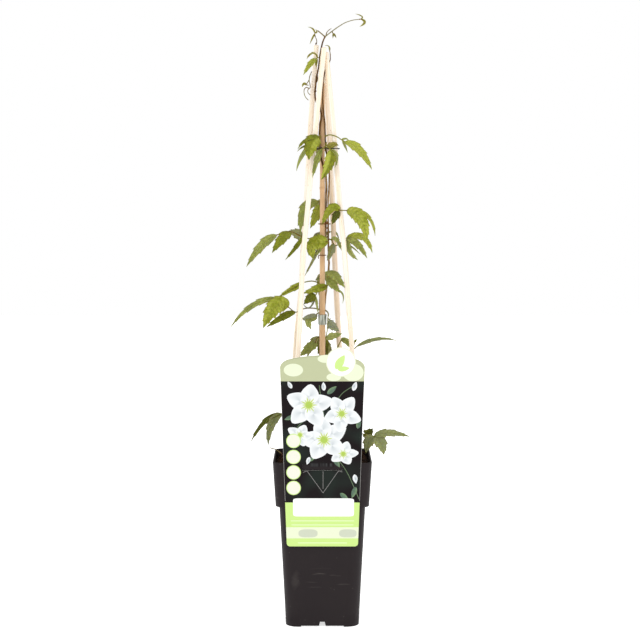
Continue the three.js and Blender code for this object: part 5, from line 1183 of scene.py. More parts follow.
def make_label(look):
    """The card, and on it the fields, the blossoms and the badge as thin printed shapes. The tongue is a
    flat oblong carried along its line over the rim."""
    make_card(look)
    skin = Skin()
    relief = look.relief

    def oval(tone, layer, *place, **shape):
        """One oval on the card, at its place and its half width and height."""
        print_shape(skin, round_outline(*place, **shape), tone, layer * relief)

    for x, y, wide, tall in PALE_OVALS:
        oval(look.pale, 0.25, x, max(y, NIGHT_TOP + 0.2 + tall), wide, tall)
    draw_blossoms(skin, look, relief)
    oval(look.pale, 1, BADGE_X, BADGE_Y, BADGE_RADIUS - 0.1, count=64)
    oval(linear("#eeeeec"), 1.15, BADGE_X, BADGE_Y, BADGE_RADIUS - 1.4, count=64)
    for x, y, *petal in MOTIF:
        print_shape(skin, petal_outline(BADGE_X + x, BADGE_Y + y, *petal), look.lime, 1.3 * relief)
    for place in ROUNDELS:
        oval(look.lime, 1.1, *place, 9.1)
        oval(linear("#dad9cb"), 1.25, *place, 8.1)
    oval(linear("#eeeeec"), 1, 1.4, -56.3, 38.2, 11.6, count=64, power=14)
    for place in LINES:
        oval(linear("#dcecc4"), 0.5, *place, count=24, power=10)
    for place in BUTTONS:
        oval(linear("#bcc2ae"), 0.5, *place, count=28, power=3)
    worn = linear("#8d8a88")
    for crease in CREASES:
        ends = np.array(crease).reshape(2, 2)
        way = unit(ends[1] - ends[0])
        print_stroke(skin, ends, [WORN_HALF * np.array([-way[1], way[0]])] * 2, worn, 0.5 * relief)

    # The badge's own board behind its print, and the tongue over the rim.
    circle = circle_points(65)
    rings = np.array([0.001, 1.0, 1.0, 0.001])[:, None, None] * (BADGE_RADIUS - 0.05) * circle
    depth = np.array([0.02, 0.02, CARD_FACE + 0.01, CARD_FACE + 0.01])[:, None]
    board = on_label(BADGE_X + rings[..., 0], BADGE_Y + rings[..., 1], depth)
    skin.add(board[:, :-1], flat_chart(board), mark=(1, 1, 1, 1), wrap=True, slot=1)
    line, side = flat_line(TONGUE_LINE, 4)
    # Each row is a flat oblong, and the first and last shrink to a point.
    row, last = capped(np.arange(len(line))), len(line) + 1
    open_row = ((np.arange(last + 1) > 0) & (np.arange(last + 1) < last))[:, None]
    face, width = np.array([-1, -1, 1, 1, -1]) * open_row, np.array([-1, 1, 1, -1, -1]) * open_row
    out, along = (
        line[row, axis, None] + TONGUE_WALL_HALF * side[row, axis, None] * face for axis in (0, 1))
    tongue = on_label(TONGUE_HALF * width, along, out)
    skin.add(tongue[:, :-1], flat_chart(tongue), mark=(*look.night, 1), wrap=True, slot=2)
    materials = [printed_card(look), bare_card(look), printing_ink()]
    skin.piece("label_print", materials, ["label"], "printed_card")


# ---- woody stems

STEM_RADIUS = {"main": (1.7, 0.85), "second": (1.45, 0.6)}
STEM_TWIST = {"main": 0.42, "second": -0.5}
STEM_MAIN = points("""-5.6 8.8 150, -5.2 8.6 205, -3.4 8 280, -2.6 7.2 360, -2.2 6.9 430, .8 6.6 470,
    3.9 4.1 500, 4.7 2.9 540, 5.2 .4 560, 3.8 -4.2 574, .6 -5.5 585, -2.8 -4.9 598, -3.8 -3.2 620,
    -2.9 -4 636, -1.2 -4.8 648, -3.4 -4 657, -7.6 -2.2 664, -9.4 -1.4 673, -8.6 -1.2 684, -7.6 -.9 694,
    -4.8 -2.2 708, -3.6 -3 720, -1.2 -2.9 733, 1 -3 741, 3.4 -3 746.5""")
STEM_SECOND = points("""6.6 8.4 150, 6.2 8.2 205, 3.8 7.8 280, 2.9 7.4 360, 2.9 7.4 405, 6.4 4.4 436,
    8.4 1.6 458, 7.8 1 475, 7.5 .5 500, 7.6 .2 540, 8.6 -.2 560, 8.8 -1.4 576, 7 -4.4 590, 4.4 -5.6 604,
    3.6 -4.2 622, 3 -4.4 638, 1.6 -4.8 652, .5 -4.7 668, .8 -4.5 683, 1.3 -3.8 692, 2.6 -1 700,
    4.6 2.3 706.5, 7.6 3 712, 9.9 1.6 717.5, 10 .2 723""")
STEM_LINE = {"main": STEM_MAIN, "second": STEM_SECOND}
# Side shoots of the main stem: line, radii, fresh share.
SHOOTS = [
    (points("""3.2 -3 746, 6.5 -3.2 748.6, 12.3 -3.6 753, 20 -4 758.4, 28.8 -4 763.6, 37.8 -4 766.6,
        46.4 -4 767.8"""), (0.75, 0.5), 0.8),
    (points("""3.2 -3 746.4, -1 -3.4 749.8, -5.6 -3.8 753.4"""), (0.85, 0.75), 0.5),
    (points("""4.6 -3.1 747.4, 5.6 -3.6 751.4, 8 -4 754.2, 11 -4.2 756.2"""), (0.7, 0.4), 0.4),
    (points("""-8.1 -1.1 688, -6.2 4 693, -6.4 10 700, -8 10.2 712, -8.6 8.6 728, -8.2 6.8 737.4,
        -7.2 3.4 739, -7.4 2.4 743, -9 2 746.6"""), (0.75, 0.45), 0.3)]
STEM_KNOTS = points("-9 -1.2 678 1.7, 3.1 -3 745.6 1.3, -7.9 4.6 738.6 1.2")
TWIG = points("-50 44 204.6, -56 43 209.3, -61.5 41 213.5, -69 38 216.2")


def bark_relief(depth, strands, twist):
    """Scale of a section at an angle and a distance along: strands that wind round the stem, in two sets
    of unlike pitch, and slow swellings along it."""
    def scale(angle, along):
        wound = np.sin(strands * angle + twist * along) * (0.7 + 0.3 * np.sin(along / 3.1))
        across = 0.5 * np.sin((strands + 3) * angle - 0.7 * twist * along)
        return 1 + depth * (wound + across + 0.35 * np.sin(along / 7.7) - 0.4)
    return scale


def knot_grid(skin, x, y, z, radius):
    """A knobbly globe: r = radius * (1 + small waves of both angles)."""
    polar, around = np.linspace(0, math.pi, 9)[:, None], np.linspace(0, TURN, 13)
    reach = radius * (0.92 + 0.09 * np.sin(3 * around) * np.sin(polar) * np.sin(4 * polar))
    grid = (x, y, z) + globe(polar, around, reach)
    chart = chart_of(around / TURN, polar / math.pi, around * radius, polar * radius)
    skin.add(grid[:, :-1], chart, wrap=True)


def make_stems(look):
    """Tubes along the stems' lines with wound bark, and on the main stem its shoots and knots."""
    bark = woody_bark(look)
    for name, twist in STEM_TWIST.items():
        skin = Skin()
        tube(skin, STEM_LINE[name], STEM_RADIUS[name], per_span=10, sides=20,
             relief=bark_relief(look.ridge, 5, twist))
        if name == "main":
            for line, radius, fresh in SHOOTS:
                tube(skin, line, radius, per_span=8, sides=12, relief=bark_relief(look.ridge * 0.6, 4, 0.8),
                     mark=(fresh, 0, 0, 1))
            for knot in STEM_KNOTS:
                knot_grid(skin, *knot)
        skin.piece("stem_%s_bark" % name, [bark], ["stem_" + name], "woody_stem", sharp=70)


def make_twig(look):
    """A short tube with slack strands of bark."""
    skin = Skin()
    tube(skin, TWIG, (0.9, 0.6), per_span=8, sides=12, relief=bark_relief(0.12, 4, 0.3),
         mark=(0.6, 0, 0, 1))
    skin.piece("twig_bark", [woody_bark(look, "dry_twig_bark")], ["twig"], "woody_stem", sharp=70)


# ---- leaves

STALK_RADIUS = {"fine": 0.6, "firm": 0.9}
# What a word says of a blade: lightness, youth, bloom. Lightness is partly the leaflet's own tone and
# partly painted sun or shade.
TONES = {
    "sunlit": (1.0, 0, 0), "bright": (0.8, 0, 0), "soft": (0.75, 0, 0.25), "mid": (0.55, 0, 0),
    "deep": (0.36, 0, 0), "dark": (0.08, 0, 0), "pale": (1.0, 0, 0.4), "dull": (0.65, 0, 0.5),
    "grey": (0.5, 0, 0.85), "young": (0.7, 0.85, 0), "brown": (0.05, 0.75, 0), "dusky": (0.3, 0, 0.35)}
# Each leaf: its name, how thick its stalks are, whether they are fresh or bronze, and the stem and height
# that it grows from. Then its stalks, and its leaflets as a word for the blade, or two for its halves, one
# lighter and one darker as painted light and shade across the fold, base, via, tip, width, face, and the
# fold in degrees with the teeth on a side.
LEAVES = """
leaf_tip_right fine bronze
 stalk 46.8 -4 767.9, 48.2 -4 768, 49.6 -4.2 767.6
 young 48.2 -4 768, 50 -5 771.2, 41.8 -6 774.6, 2.4, .3 -.8 .5, 10 0
 young 49.2 -4 767.7, 53.2 -6 763.6, 46.9 -8 758.1, 4.2, .3 -.9 .3, 20 0
leaf_tip_left fine bronze
 stalk -9.1 2 747, -9.6 2 749.6, -9.5 2 752
 young -9.5 2 751.2, -12.3 1 756.7, -18.4 0 758.8, 2.6, -.3 -.8 .5, 10 0
 young -9.6 1.8 750.6, -12 0 745.6, -16 -2 737.2, 3.2, -.4 -.8 .4, 20 0
 young -9.5 2 751.4, -7 3 753.2, -8.7 4 756.6, 2.4, .4 -.8 .4, 10 0
leaf_tip_middle fine bronze
 stalk 12.6 -4.1 752.1, 13.2 -4.8 750.6, 13.6 -5.2 749.6
 brown 13.5 -5 750.2, 15.6 -6 747.9, 17.6 -7 744, 3, .3 -.9 .3, 10 0
 brown 13.4 -5 750, 13.6 -6 747.1, 12.8 -7 743.8, 2.6, -.4 -.9 .3, 10 0
leaf_crown_inner fine bronze
 stalk 10 .2 723.4, 9.8 -.2 726, 9.2 -.6 729.4
 young 9.3 -.6 728.8, 8 -1.4 734.6, 3 -3 735, 2.6, .2 -.7 .7, 10 0
leaf_crown_left fine bronze main 720
 stalk -6.2 -6.4 719.6, -7.2 -7.6 718.8, -8.2 -8.4 718.2
 young -6.1 -6.2 719.8, -12.3 -9 724.8, -19.9 -12 717.3, 6, -.1 -.5 .85, 14 2
 sunlit -7.7 -8.2 718.4, -14.6 -13.4 711, -24 -16 697, 10, -.3 -.8 .5, 16 2
 young -7.3 -7.6 718.6, -7.8 -9.6 712.8, -7.9 -9.4 706.7, 4.6, .1 -.95 .3, 20 0
tendril_left fine bronze
 stalk -7.7 10.8 704, -12.6 11.6 704.4, -15 6 700, -16.4 0 695, -16.6 -2.4 691.6, -15.7 -3 686,
   -15.4 -3 682.6,
   -18.4 -3.6 679.4, -18.2 -3 676.2, -15.4 -.4 673.4
 stalk -16.7 -2.2 692, -19.2 -4 688, -20.8 -5 685.4
 stalk -17.2 -3.2 681.4, -20 -4 682.6, -22.6 -5 680.6, -23.2 -5 676, -21.4 -3 670.6, -18 0 667
 young -20.6 -4.8 685.8, -23.4 -5 686.8, -25.6 -6 682.8, 4.4, -.2 -.8 .5, 20 0
 young -20.4 -4.8 685.6, -17.4 -4.2 685.4, -16.8 -4.2 685.2, 1.6, 0 -.9 .4, 10 0
leaf_upper_left firm bronze main 619
 stalk -3.2 -13 622, -2.6 -23.4 617.6, -9 -26 613.6, -16.3 -26.4 608
 mid|bright -3.4 -23.6 617.4, -12.5 -31 611.7, -17 -35.5 589.8, 24, -.2 -.85 .5, 12 4
 mid -5.4 -24.8 616.2, -19 -27.2 616, -31 -31 603.5, 9.5, -.1 -.5 .85, 14 2
 pale -15.9 -26.4 608.4, -27.1 -27 592.4, -32.6 -27 576.2, 8, -.5 -.8 .3, 16 0
 mid -14.6 -26.2 609.4, -24.5 -28 606.6, -31.6 -29 600.6, 4.4, -.1 -.7 .7, 10 0
leaf_upper_front firm fresh second 611
 stalk 5.4 -15 612.6, 5 -23.8 609, 10.9 -25 603
 stalk 5 -23.8 609, 2 -24.6 605.6, -.9 -24.8 604
 soft -.6 -24.8 604.2, -7.6 -27.5 589, -12.5 -26 567.8, 9.5, .4 -.9 .2, 26 2
 sunlit|mid 10.4 -25 603.4, 8.7 -28.4 586.4, -2 -23 565, 15.5, .1 -.9 .4, 18 3
 pale 10.6 -24.9 603.2, 17.6 -26 595.5, 15.9 -23.6 580.4, 6, .5 -.8 .3, 20 2
leaf_upper_inner fine bronze second 595
 stalk 7 -13 600, 6.7 -16.7 604.6
 young 6.7 -16.6 604.2, 13.4 -16.6 609.9, 20.5 -16.6 608.6, 9.6, .05 -1 0, 2 2
leaf_upper_right firm fresh second 621
 stalk 10 -15.6 622.2, 17.9 -18.8 619.8, 24.2 -19.2 615.8, 28.8 -20 613
 sunlit 28.2 -20 613.3, 45.6 -28 602.7, 62 -36 577.9, 15, .3 -.85 .45, 12 3
 pale 25.2 -19.5 614.8, 28.6 -22 607.6, 31.9 -22 599.5, 4.2, .4 -.9 .2, 16 0
 pale 24.6 -19.2 615.4, 29.1 -18.4 617.3, 33.7 -20.4 614.7, 4.6, .1 -.6 .8, 12 0
leaf_upper_back firm bronze main 612
 stalk -6.6 6 613, -3 16 612, -2 24 610
 deep -2.2 23.6 610.2, -3 42 606, -6 58 588, 15, 0 .4 .9, 16 3
 dull -2.4 22.6 610.4, -9 32 607, -14.5 42 598, 9, -.3 .3 .9, 14 2
 dark -2 23.2 610.3, 4.6 32 606, 8.5 41 595, 9, .3 .3 .9, 14 2
leaf_middle_left firm bronze main 537
 stalk 1.4 6.2 537, -3 6.6 538, -5.4 3.4 538.2
 stalk -3 6.6 538, -3.4 7 534
 soft -4.7 3.2 537.4, -22.2 -6 529.4, -27.6 -11 498.5, 16.5, -.25 -.88 .4, 14 2
 sunlit -3 7 534.6, -7.9 8.6 520.8, -15.6 7 504.2, 14.5, -.1 -.95 .3, 10 3
leaf_middle_back firm bronze main 541
 stalk 2 15 540, -8 25 538, -20 28 533.4
 sunlit -19.6 28 533.8, -25 31 518.7, -24.4 33 499.3, 9, -.1 -.9 .35, 16 2
 soft -8.4 25.2 538, -6 44 539, -9 62 524, 15, -.1 .4 .9, 14 3
leaf_middle_right firm bronze second 532
 stalk 12.6 -12 528.4, 17.8 -23.4 527.4, 24.5 -24.8 527.2, 31.4 -22.4 527
 bright 21.6 -24.2 527.5, 10.8 -25.5 529.3, -.7 -13 508.7, 14.5, -.3 -.8 .5, 14 3
 dark 21.2 -24.6 526.9, 16.7 -22 519.7, 12.4 -17.4 509.4, 10.5, .1 -.95 .25, 8 2
 sunlit 30.6 -22.8 527, 47.6 -31 516.8, 56.1 -38.4 488.8, 20.5, .15 -.88 .42, 12 4
 sunlit 30.8 -22 527.2, 56.4 -17 520.5, 67 -14 494.7, 11, .3 -.6 .75, 16 3
leaf_centre_left firm bronze main 487
 stalk -.8 9.2 487, -5.6 6.6 488, -14.6 -1 490.4, -28.5 -8 495, -40.5 -14 500.3, -58.1 -20 496
 soft -57.6 -20 496, -75.5 -28 483.9, -95.4 -36 456.4, 15.5, -.3 -.85 .45, 14 3
 mid -40.9 -14.2 500.2, -50.4 -24 491.1, -63.4 -31 473.6, 17, -.1 -.78 .6, 14 3
 soft -24.7 -6 494, -33.6 -1 497.9, -43.9 2 500.9, 17.5, 0 .85 .5, 8 3
 mid -24.9 -6.4 493.6, -33.6 -10 480.4, -47.3 -12.6 464.3, 7.5, -.4 -.85 .3, 18 2
leaf_centre_front firm bronze second 486
 stalk 8.2 -8 486.2, 7.4 -10.6 487.4, -1.6 -9.6 486
 bright 7.2 -10.5 487.2, -11.6 -14.4 483.4, -11.3 -21 465.8, 23, -.1 -.88 .5, 8 4
 pale -1 -9.8 485.8, -4.3 -13 477, -8.6 -15 468.7, 8, -.1 -.9 .4, 12 3
 soft -1.4 -9.8 485.8, -11.6 -12 464.3, -23.1 -12 443.2, 6.4, -.5 .7 .5, 16 2
leaf_centre_back firm bronze main 495
 stalk 2.2 10 495, 1.8 13 494.4
 pale 2 11 495, -5.7 12 497, -11.8 12 493.7, 7, 0 .8 .6, 8 2
 mid 2.2 11 495, 6.4 12 498.6, 12 12 500.1, 6, 0 .8 .6, 8 2
 bright 1.9 12.4 494.6, -1 33 490, -5 56 472, 17, 0 .35 .95, 14 3
leaf_centre_inner firm bronze second 491
 stalk 11.6 -4 489.4, 14.4 -3.6 484.4
 stalk 11.6 -4 489.4, 17 -1 491.4, 20.6 2 492.2, 19.5 3 495.4
 pale 11.4 -4.2 489.4, 17.6 -7 490.6, 24.4 -10 476.4, 7.5, .2 -.7 .6, 16 2
 dull|dark 14.2 -3.6 484.8, 11 -5.6 474.3, 5.9 -5 463, 10.5, -.2 .9 .3, 10 2
 pale 19.6 3 495, 18.2 3.5 498, 17.4 4 500.6, 3, .3 -.8 .5, 20 0
leaf_centre_right firm fresh second 480
 stalk 15 2 481.4, 21 -2.4 484, 27 -10 488.6, 31.4 -14 492.2
 stalk 31 -14 492.2, 34.6 -16.4 486, 35.6 -16.4 482
 soft 31 -14 492.2, 44.4 -24 484, 56.4 -30 466.8, 12.5, .25 -.8 .55, 10 3
 sunlit 31 -13.8 492.3, 51.3 -12 492.7, 63.5 -14 473.2, 12.5, .25 -.7 .65, 12 2
 pale 32.2 -14.8 491.4, 34.4 -19 476.4, 45.3 -20.6 464.3, 9, -.4 -.85 .3, 14 2
 pale 35.3 -16.4 482.8, 41.3 -18 478, 48.1 -20 471.6, 2.6, .1 -.7 .7, 8 0
leaf_lower_left firm fresh main 433
 stalk -7 4 435.4, -13.3 0 437, -24.1 -5 435.2, -39.9 -12 427, -58.7 -19 415.8
 bright -23.2 -4.7 435.4, -39.9 -12 426.4, -56 -18 417.4, 10.5, -.25 -.85 .45, 14 2
 soft -58 -18.8 416.2, -89.3 -28 406.4, -116.2 -36 379.3, 9.5, -.2 -.9 .4, 14 3
leaf_lower_left_broad firm bronze main 400
 stalk -11 3 402, -24 -9.4 402, -33.5 -13.2 398, -43.5 -22.4 405.2
 bright -42.9 -22 405, -58.9 -32 406.7, -74.4 -38 379.3, 27, -.25 -.85 .45, 8 4
 mid -34.2 -13.6 398.4, -50 -16.4 391.7, -71.5 -20 379, 13, -.1 -.75 .65, 14 2
leaf_lower_front firm fresh second 435
 stalk 7.8 -4 433.4, 7.2 -8.4 432, -3 -15.4 428.4, -9 -17.4 419
 bright 6.4 -8.8 431.8, -10.1 -18 426.9, -25.3 -22.6 422.1, 14.5, 0 -.75 .65, 14 3
 deep -8.8 -17.8 420.6, -15.9 -19.6 415.8, -23.5 -20.6 408.5, 14, -.1 -.9 .35, 8 3
 pale -8.8 -17.4 419.2, -7.4 -18.4 408.6, -5 -16.4 395.8, 5.6, .7 -.7 .3, 22 2
 grey -8.6 -17.2 419, -16.2 -13 404, -25.1 -12 409.3, 4, 0 -.5 .85, 10 0
leaf_lower_right firm fresh second 450
 stalk 7.4 -7 450.4, 6.8 -10 446, 6.6 -12 441.4
 soft 7.4 -7 450.4, 16.5 -24 443.7, 28.6 -37 429.8, 16, .15 -.85 .5, 12 3
 soft 6.6 -11.8 441.8, 13.5 -17 433.5, 22.4 -18 423.1, 13.5, -.1 -.8 .55, 10 3
 pale 18 -17.8 427, 25.9 -18 420.6, 25.6 -17 409.3, 3.2, .5 -.8 .3, 16 0
leaf_lower_back firm bronze main 445
 stalk 1 11.4 446, 1 14 446
 dull .6 11.6 446, -4.3 10 441, -9.2 6 438.1, 5, -.2 -.8 .5, 14 2
 sunlit 1.1 13.4 446, 4.4 33 446, 7.6 56 429, 14, .1 .35 .95, 14 3
 mid .8 13.4 446, -2 28 440, -4.6 46 416, 12, -.3 .3 .9, 14 2
leaf_low_left firm fresh main 396.5
 stalk -7.2 3 394.4, -7 -1.6 391.4
 grey -7.1 -1 391.8, -14 -7 390.1, -27.4 -15 389.9, 13.5, 0 .9 .45, 10 2
 pale -7 -1.4 391.4, -17.5 -11.5 387.1, -13.7 -14 375.8, 13, -.2 -.88 .4, 12 2
leaf_low_right firm fresh second 400
 stalk 7.4 2.5 396, 7 -3.4 389, 6.4 -5.6 376, 4.6 -7.4 364.4
 stalk 7 -3.4 389, 8.4 -6 388.6, 9.6 -8.6 388.8
 grey 6.7 -3.9 385.5, 13.3 -9.4 379.8, 22 -13.4 373.2, 13.5, -.2 .85 .4, 10 3
 pale 4.8 -7.2 365, 13.3 -12.4 367, 25.5 -15 371, 12, 0 -.85 .5, 14 2
 grey 9.4 -8.2 388.8, 10 -9.4 389.4, 10.4 -10.6 389.8, 3.2, 0 -.7 .7, 20 0
leaf_low_dark firm bronze main 364
 stalk -7.2 0 363.4, -8.6 -8 358.6
 soft -8.4 -7.4 358.8, -17.5 -15.6 351.6, -29.2 -20 341.8, 15.5, -.1 -.8 .55, 14 3
 dull -7.7 -3 361.4, -12.7 -1 356.3, -16.3 0 348.5, 4.4, 0 -.5 .85, 10 2
leaf_low_back firm bronze main 366
 stalk 0 13.4 365.2, -1 17 364
 deep 0 13 365.4, .6 16.4 345.8, -.5 18.4 326, 17, 0 -.9 .4, 12 3
 deep -.6 16 364.4, -9 31 358, -20 50 334, 17, -.2 .3 .9, 14 3
 deep -.6 16.2 364.3, 5.6 34 350, 11 58 326, 15, .2 .3 .9, 14 3
leaf_shoulder_right firm fresh second 330
 stalk 16 -2 345, 21.4 -5 356, 24.2 -5 362
 stalk 16 -2 345, 27 -20 342, 38 -28.6 350, 43.6 -27.6 355.4
 stalk 38 -28.6 350, 40 -28 357, 40.9 -27.6 361.4
 soft 24 -5 361.8, 29.7 -8 360.7, 36 -12 351.6, 9.5, .2 -.85 .4, 16 2
 bright 40.8 -27.6 361, 42 -27.8 362.8, 43.6 -28 365, 3.6, .1 -.8 .5, 20 0
 dull 43.2 -27.6 355.3, 69.5 -31 365.1, 94.8 -34 362.8, 6.4, .1 -.85 .5, 14 3
leaf_collar_left firm bronze main 250
 stalk -20 -6 262, -40 -22 267, -52 -34 270.4
 dark -51.5 -33.6 270.4, -71.6 -40 261.9, -90.3 -47 236.2, 9.5, -.35 -.75 .55, 20 2
 dusky -51.6 -33.8 270.3, -64.2 -44 257.1, -68 -50 232.4, 13.5, -.1 -.85 .5, 20 3
 deep -30 -14.4 264.8, -30 2 268, -40 22 254, 13, -.3 .2 .9, 16 2
leaf_collar_right firm fresh second 236
 stalk 24 -6 244, 36 -20 246, 53.6 -32.4 244, 66 -38.4 242.4
 dark 53.2 -32.2 244.2, 56.1 -30 243.4, 64.3 -26 250.8, 15, .1 -.7 .7, 14 2
 dull 65.4 -38.2 242.5, 83.9 -44 247.5, 110.1 -50 243.6, 12, .1 -.85 .5, 14 3
 dusky 65.2 -38.2 242.4, 58.2 -44.4 235.6, 55.1 -47.4 222.9, 17.5, -.2 -.9 .4, 14 3
 dull 65.6 -38.3 242.3, 73.7 -46.4 234.6, 77.1 -51.4 220.7, 20, .2 -.9 .4, 14 3
leaf_back_left firm bronze main 300
 stalk -8 22 306, -10 34 304
 mid -9.8 33 304.2, -16 54 300, -22 74 276, 18, -.2 .4 .9, 14 3
 mid -8.8 27 305.4, -24 26 308, -44 26 290, 14, -.4 .1 .9, 16 3
 mid -9.6 31 304.6, 4 40 304, 15 56 282, 13, .4 .3 .9, 14 3
leaf_back_right firm bronze second 262
 stalk 12 22 268, 24 32 268
 mid 23.4 31.5 268.2, 38 30 267, 50 37 248, 11, .4 .3 .9, 14 3
 mid 16 26 268.2, 14 44 272, 12 66 254, 15, 0 .4 .9, 16 3
 mid 19 28.6 268.3, 26 18 272, 40 8 258, 12, .4 -.2 .9, 14 3
"""
TOOTH_ROOM = (0.13, 0.88)
# Within a tooth: place, how much the margin widens, how far it leans to the tip.
TOOTH = points("""0 .93 0, .14 .99 .02, .27 1.045 .07, .31 .975 .03, .46 1.04 .06, .6 1.1 .13, .7 1.15 .22,
    .74 1 .1, .87 .95 .02""")
BLADE_START = points("0 .9 0, .008 .9 0, .02 .95 0, .04 1 0, .065 1 0, .095 1 0")
BLADE_END = points(".88 .95 0, .91 1 0, .94 1 0, .965 1 0, .985 1 0, 1 1 0")
BROAD_COLUMNS = [0.045, 0.1, 0.2, 0.33, 0.48, 0.64, 0.8, 0.93, 1]
SLIM_COLUMNS = [0.1, 0.25, 0.5, 0.8, 1]
# How wide a blade is that has the finer columns, and how far apart its side veins leave the rib.
BROAD_FROM, VEIN_STEP = 5, 5.5
# How far a leaflet's tone strays at random, and how much painted shade and highlight follow its quilting.
SHADE_SPREAD, QUILT_SHADE = 0.06, 0.13
# A blade's least half width, that of its tip, what its claw adds, and the share in which that fades out.
MARGIN_HALF, TIP_HALF, CLAW_HALF, CLAW_REACH = 0.12, 0.1, 0.45, 0.12
KEEL_DEPTH, KEEL_HALF, GROOVE_DEPTH, GROOVE_HALF = 0.42, 0.3, 0.1, 0.35
FOLD_ROUND, FOLD_ROOT, DROOP, DROOP_SPREAD, RIPPLE = 0.006, 0.0775, 0.1, 0.08, 0.045


def read_leaves():
    """Each leaf out of the text as name, thickness, freshness, stem and height, stalks and leaflets. A
    line at the margin starts a leaf, and a line that ends in a comma runs on."""
    leaves = []
    for line in LEAVES.replace(",\n", ",").strip().splitlines():
        word, rest = line.split(maxsplit=1)
        if line[0] != " ":
            thickness, age, *grows = rest.split()
            leaves.append((word, thickness, age, grows, [], []))
        elif word == "stalk":
            leaves[-1][4].append(points(rest))
        else:
            leaves[-1][5].append((word, *points(rest)))
    return leaves


def blade_share(t):
    """Half width along a leaflet: round at the base, widest a third of the way up, drawn out to a point."""
    return np.sin(math.pi * t ** 0.66) ** 0.85 * (1 - 0.3 * t)


def blade_stations(teeth):
    """Places along a leaflet with how much the margin widens there and how far it leans to the tip."""
    low, high = TOOTH_ROOM
    if teeth == 0:
        rows = BLADE_START + [(t, 1, 0) for t in np.linspace(0.14, 0.92, 12)] + BLADE_END[3:]
    else:
        pitch = (high - low) / teeth
        rows = BLADE_START + [
            (low + pitch * number + pitch * place, widening, lean * pitch)
            for number in range(teeth) for place, widening, lean in TOOTH] + BLADE_END
    return np.array(rows, float).T


def add_leaflet(skin, look, leaflet, draw):
    """One blade. Its rib is the quadratic curve from base through via to tip. At share t of the rib and s
    across, from -1 to 1, the point is rib(t) + s half(t) cos(fold) side + lift up, where lift is the fold
    of the two halves, less a droop of the margin with s^4, plus a slow wave of the margin and the
    puffing between side veins. The lower side lies a blade's thickness below and carries the rib."""
    word, base, via, tip, (width,), face, (fold, teeth) = leaflet
    shift = draw.uniform(-SHADE_SPREAD, SHADE_SPREAD)
    base, via, tip = (np.array(point) for point in (base, via, tip))
    bend = 2 * via - (base + tip) / 2
    fine = np.linspace(0, 1, 200)
    travelled = run_length(quadratic(base, bend, tip, fine))
    length = travelled[-1]
    t, widening, lean = blade_stations(int(teeth))
    u = np.interp(t * length, travelled, fine)
    rib = quadratic(base, bend, tip, u)
    u = u[:, None]
    along = unit(2 * (1 - u) * (bend - base) + 2 * u * (tip - bend))
    side = unit(np.cross(along, np.array(face)))
    up = np.cross(side, along)

    tooth = 1 + (widening - 1) * (look.tooth / TOOTH_DEPTH)
    claw = CLAW_HALF * (1 - t / CLAW_REACH).clip(0) + MARGIN_HALF
    half = np.maximum(blade_share(t) * tooth * width / 2, claw)
    half[-1] = TIP_HALF
    columns = BROAD_COLUMNS if width > BROAD_FROM else SLIM_COLUMNS
    s = np.array([-column for column in columns[::-1]] + [0] + columns)
    spread = np.abs(s)
    angle = math.radians(fold)
    veins = max(3.0, round(length / VEIN_STEP))
    phase = draw.uniform(0, 6.28, 3)
    t_col, half_col = t[:, None], half[:, None]
    lift = half_col * math.sin(angle) * (np.sqrt(spread ** 2 + FOLD_ROUND) - FOLD_ROOT)
    lift -= half_col * (DROOP + DROOP_SPREAD * math.sin(phase[0])) * spread ** 4
    sides = np.sign(s)
    margin = np.sin(t_col * 17 + phase[1] + sides * 1.3) + 0.6 * np.sin(t_col * 31 + phase[2] - sides)
    lift += RIPPLE * half_col * margin * spread ** 2.5
    puffed = np.abs(np.sin(math.pi * (t_col * veins - VEIN_LEAN * spread)))
    lift += look.puff * min(1, width / 10) * puffed * (4 * spread * (1 - spread)) * np.sin(math.pi * t_col)
    lift -= GROOVE_DEPTH * np.exp(-(half_col * s / GROOVE_HALF) ** 2)

    thick = look.blade * (0.55 + 0.45 * (1 - spread ** 2))
    thick = thick * (0.6 + 0.4 * np.sin(math.pi * t_col.clip(0.02, 0.98)) ** 0.5)
    keel = KEEL_DEPTH * np.exp(-(half_col * s / KEEL_HALF) ** 2) * (1 - 0.75 * t_col)

    centre = rib[:, None] + (lean * length)[:, None, None] * spread[None, :, None] ** 2 * along[:, None]
    flat = centre + (half_col * s * math.cos(angle))[..., None] * side[:, None]
    top = flat + lift[..., None] * up[:, None]
    low = flat + (lift - thick - keel)[..., None] * up[:, None]
    ring = np.concatenate([top[:, ::-1], low, top[:, -1:]], axis=1)
    across = np.concatenate([s[::-1], s, s[-1:]])
    chart = chart_of(across, t_col * veins, half_col * across, t_col * length)
    mark = np.ones(ring.shape[:2] + (4,))
    # A blade with two words has its halves in two tones: painted light and shade across its fold.
    left, right = (np.array(TONES[part]) for part in (word.split("|") * 2)[:2])
    leftward = np.clip(0.5 + 4 * across, 0, 1)[:, None]
    mark[..., (0, 2, 3)] = right + (left - right) * leftward
    # Painted shade and highlight: the tone drops in the hollows along the side veins and rises on the puffs
    # between them.
    quilt = np.abs(np.sin(math.pi * (chart[..., 1] - VEIN_LEAN * np.abs(chart[..., 0]))))
    mark[..., 0] += shift + QUILT_SHADE * (quilt - 0.64)
    mark[..., 1] = 0
    mark[:, len(s):-1, 1] = 1
    cap_low, cap_high = (ring[row].mean(axis=0) * np.ones((1, ring.shape[1], 1)) for row in (0, -1))
    ring = np.concatenate([cap_low, ring, cap_high])
    skin.add(ring[:, :-1], capped(chart), mark=capped(mark), wrap=True)


def stem_axis(stem, height):
    """The stem's own line at a height, between the two rows around it."""
    x, y, z = np.array(STEM_LINE[stem]).T
    return np.interp(height, z, x), np.interp(height, z, y), height


def stalk_relief(angle, along):
    """A stalk's section swells a little with three ribs and with slow waves along it."""
    return 1 + 0.05 * np.sin(3 * angle) + 0.05 * np.sin(along / 2.3)


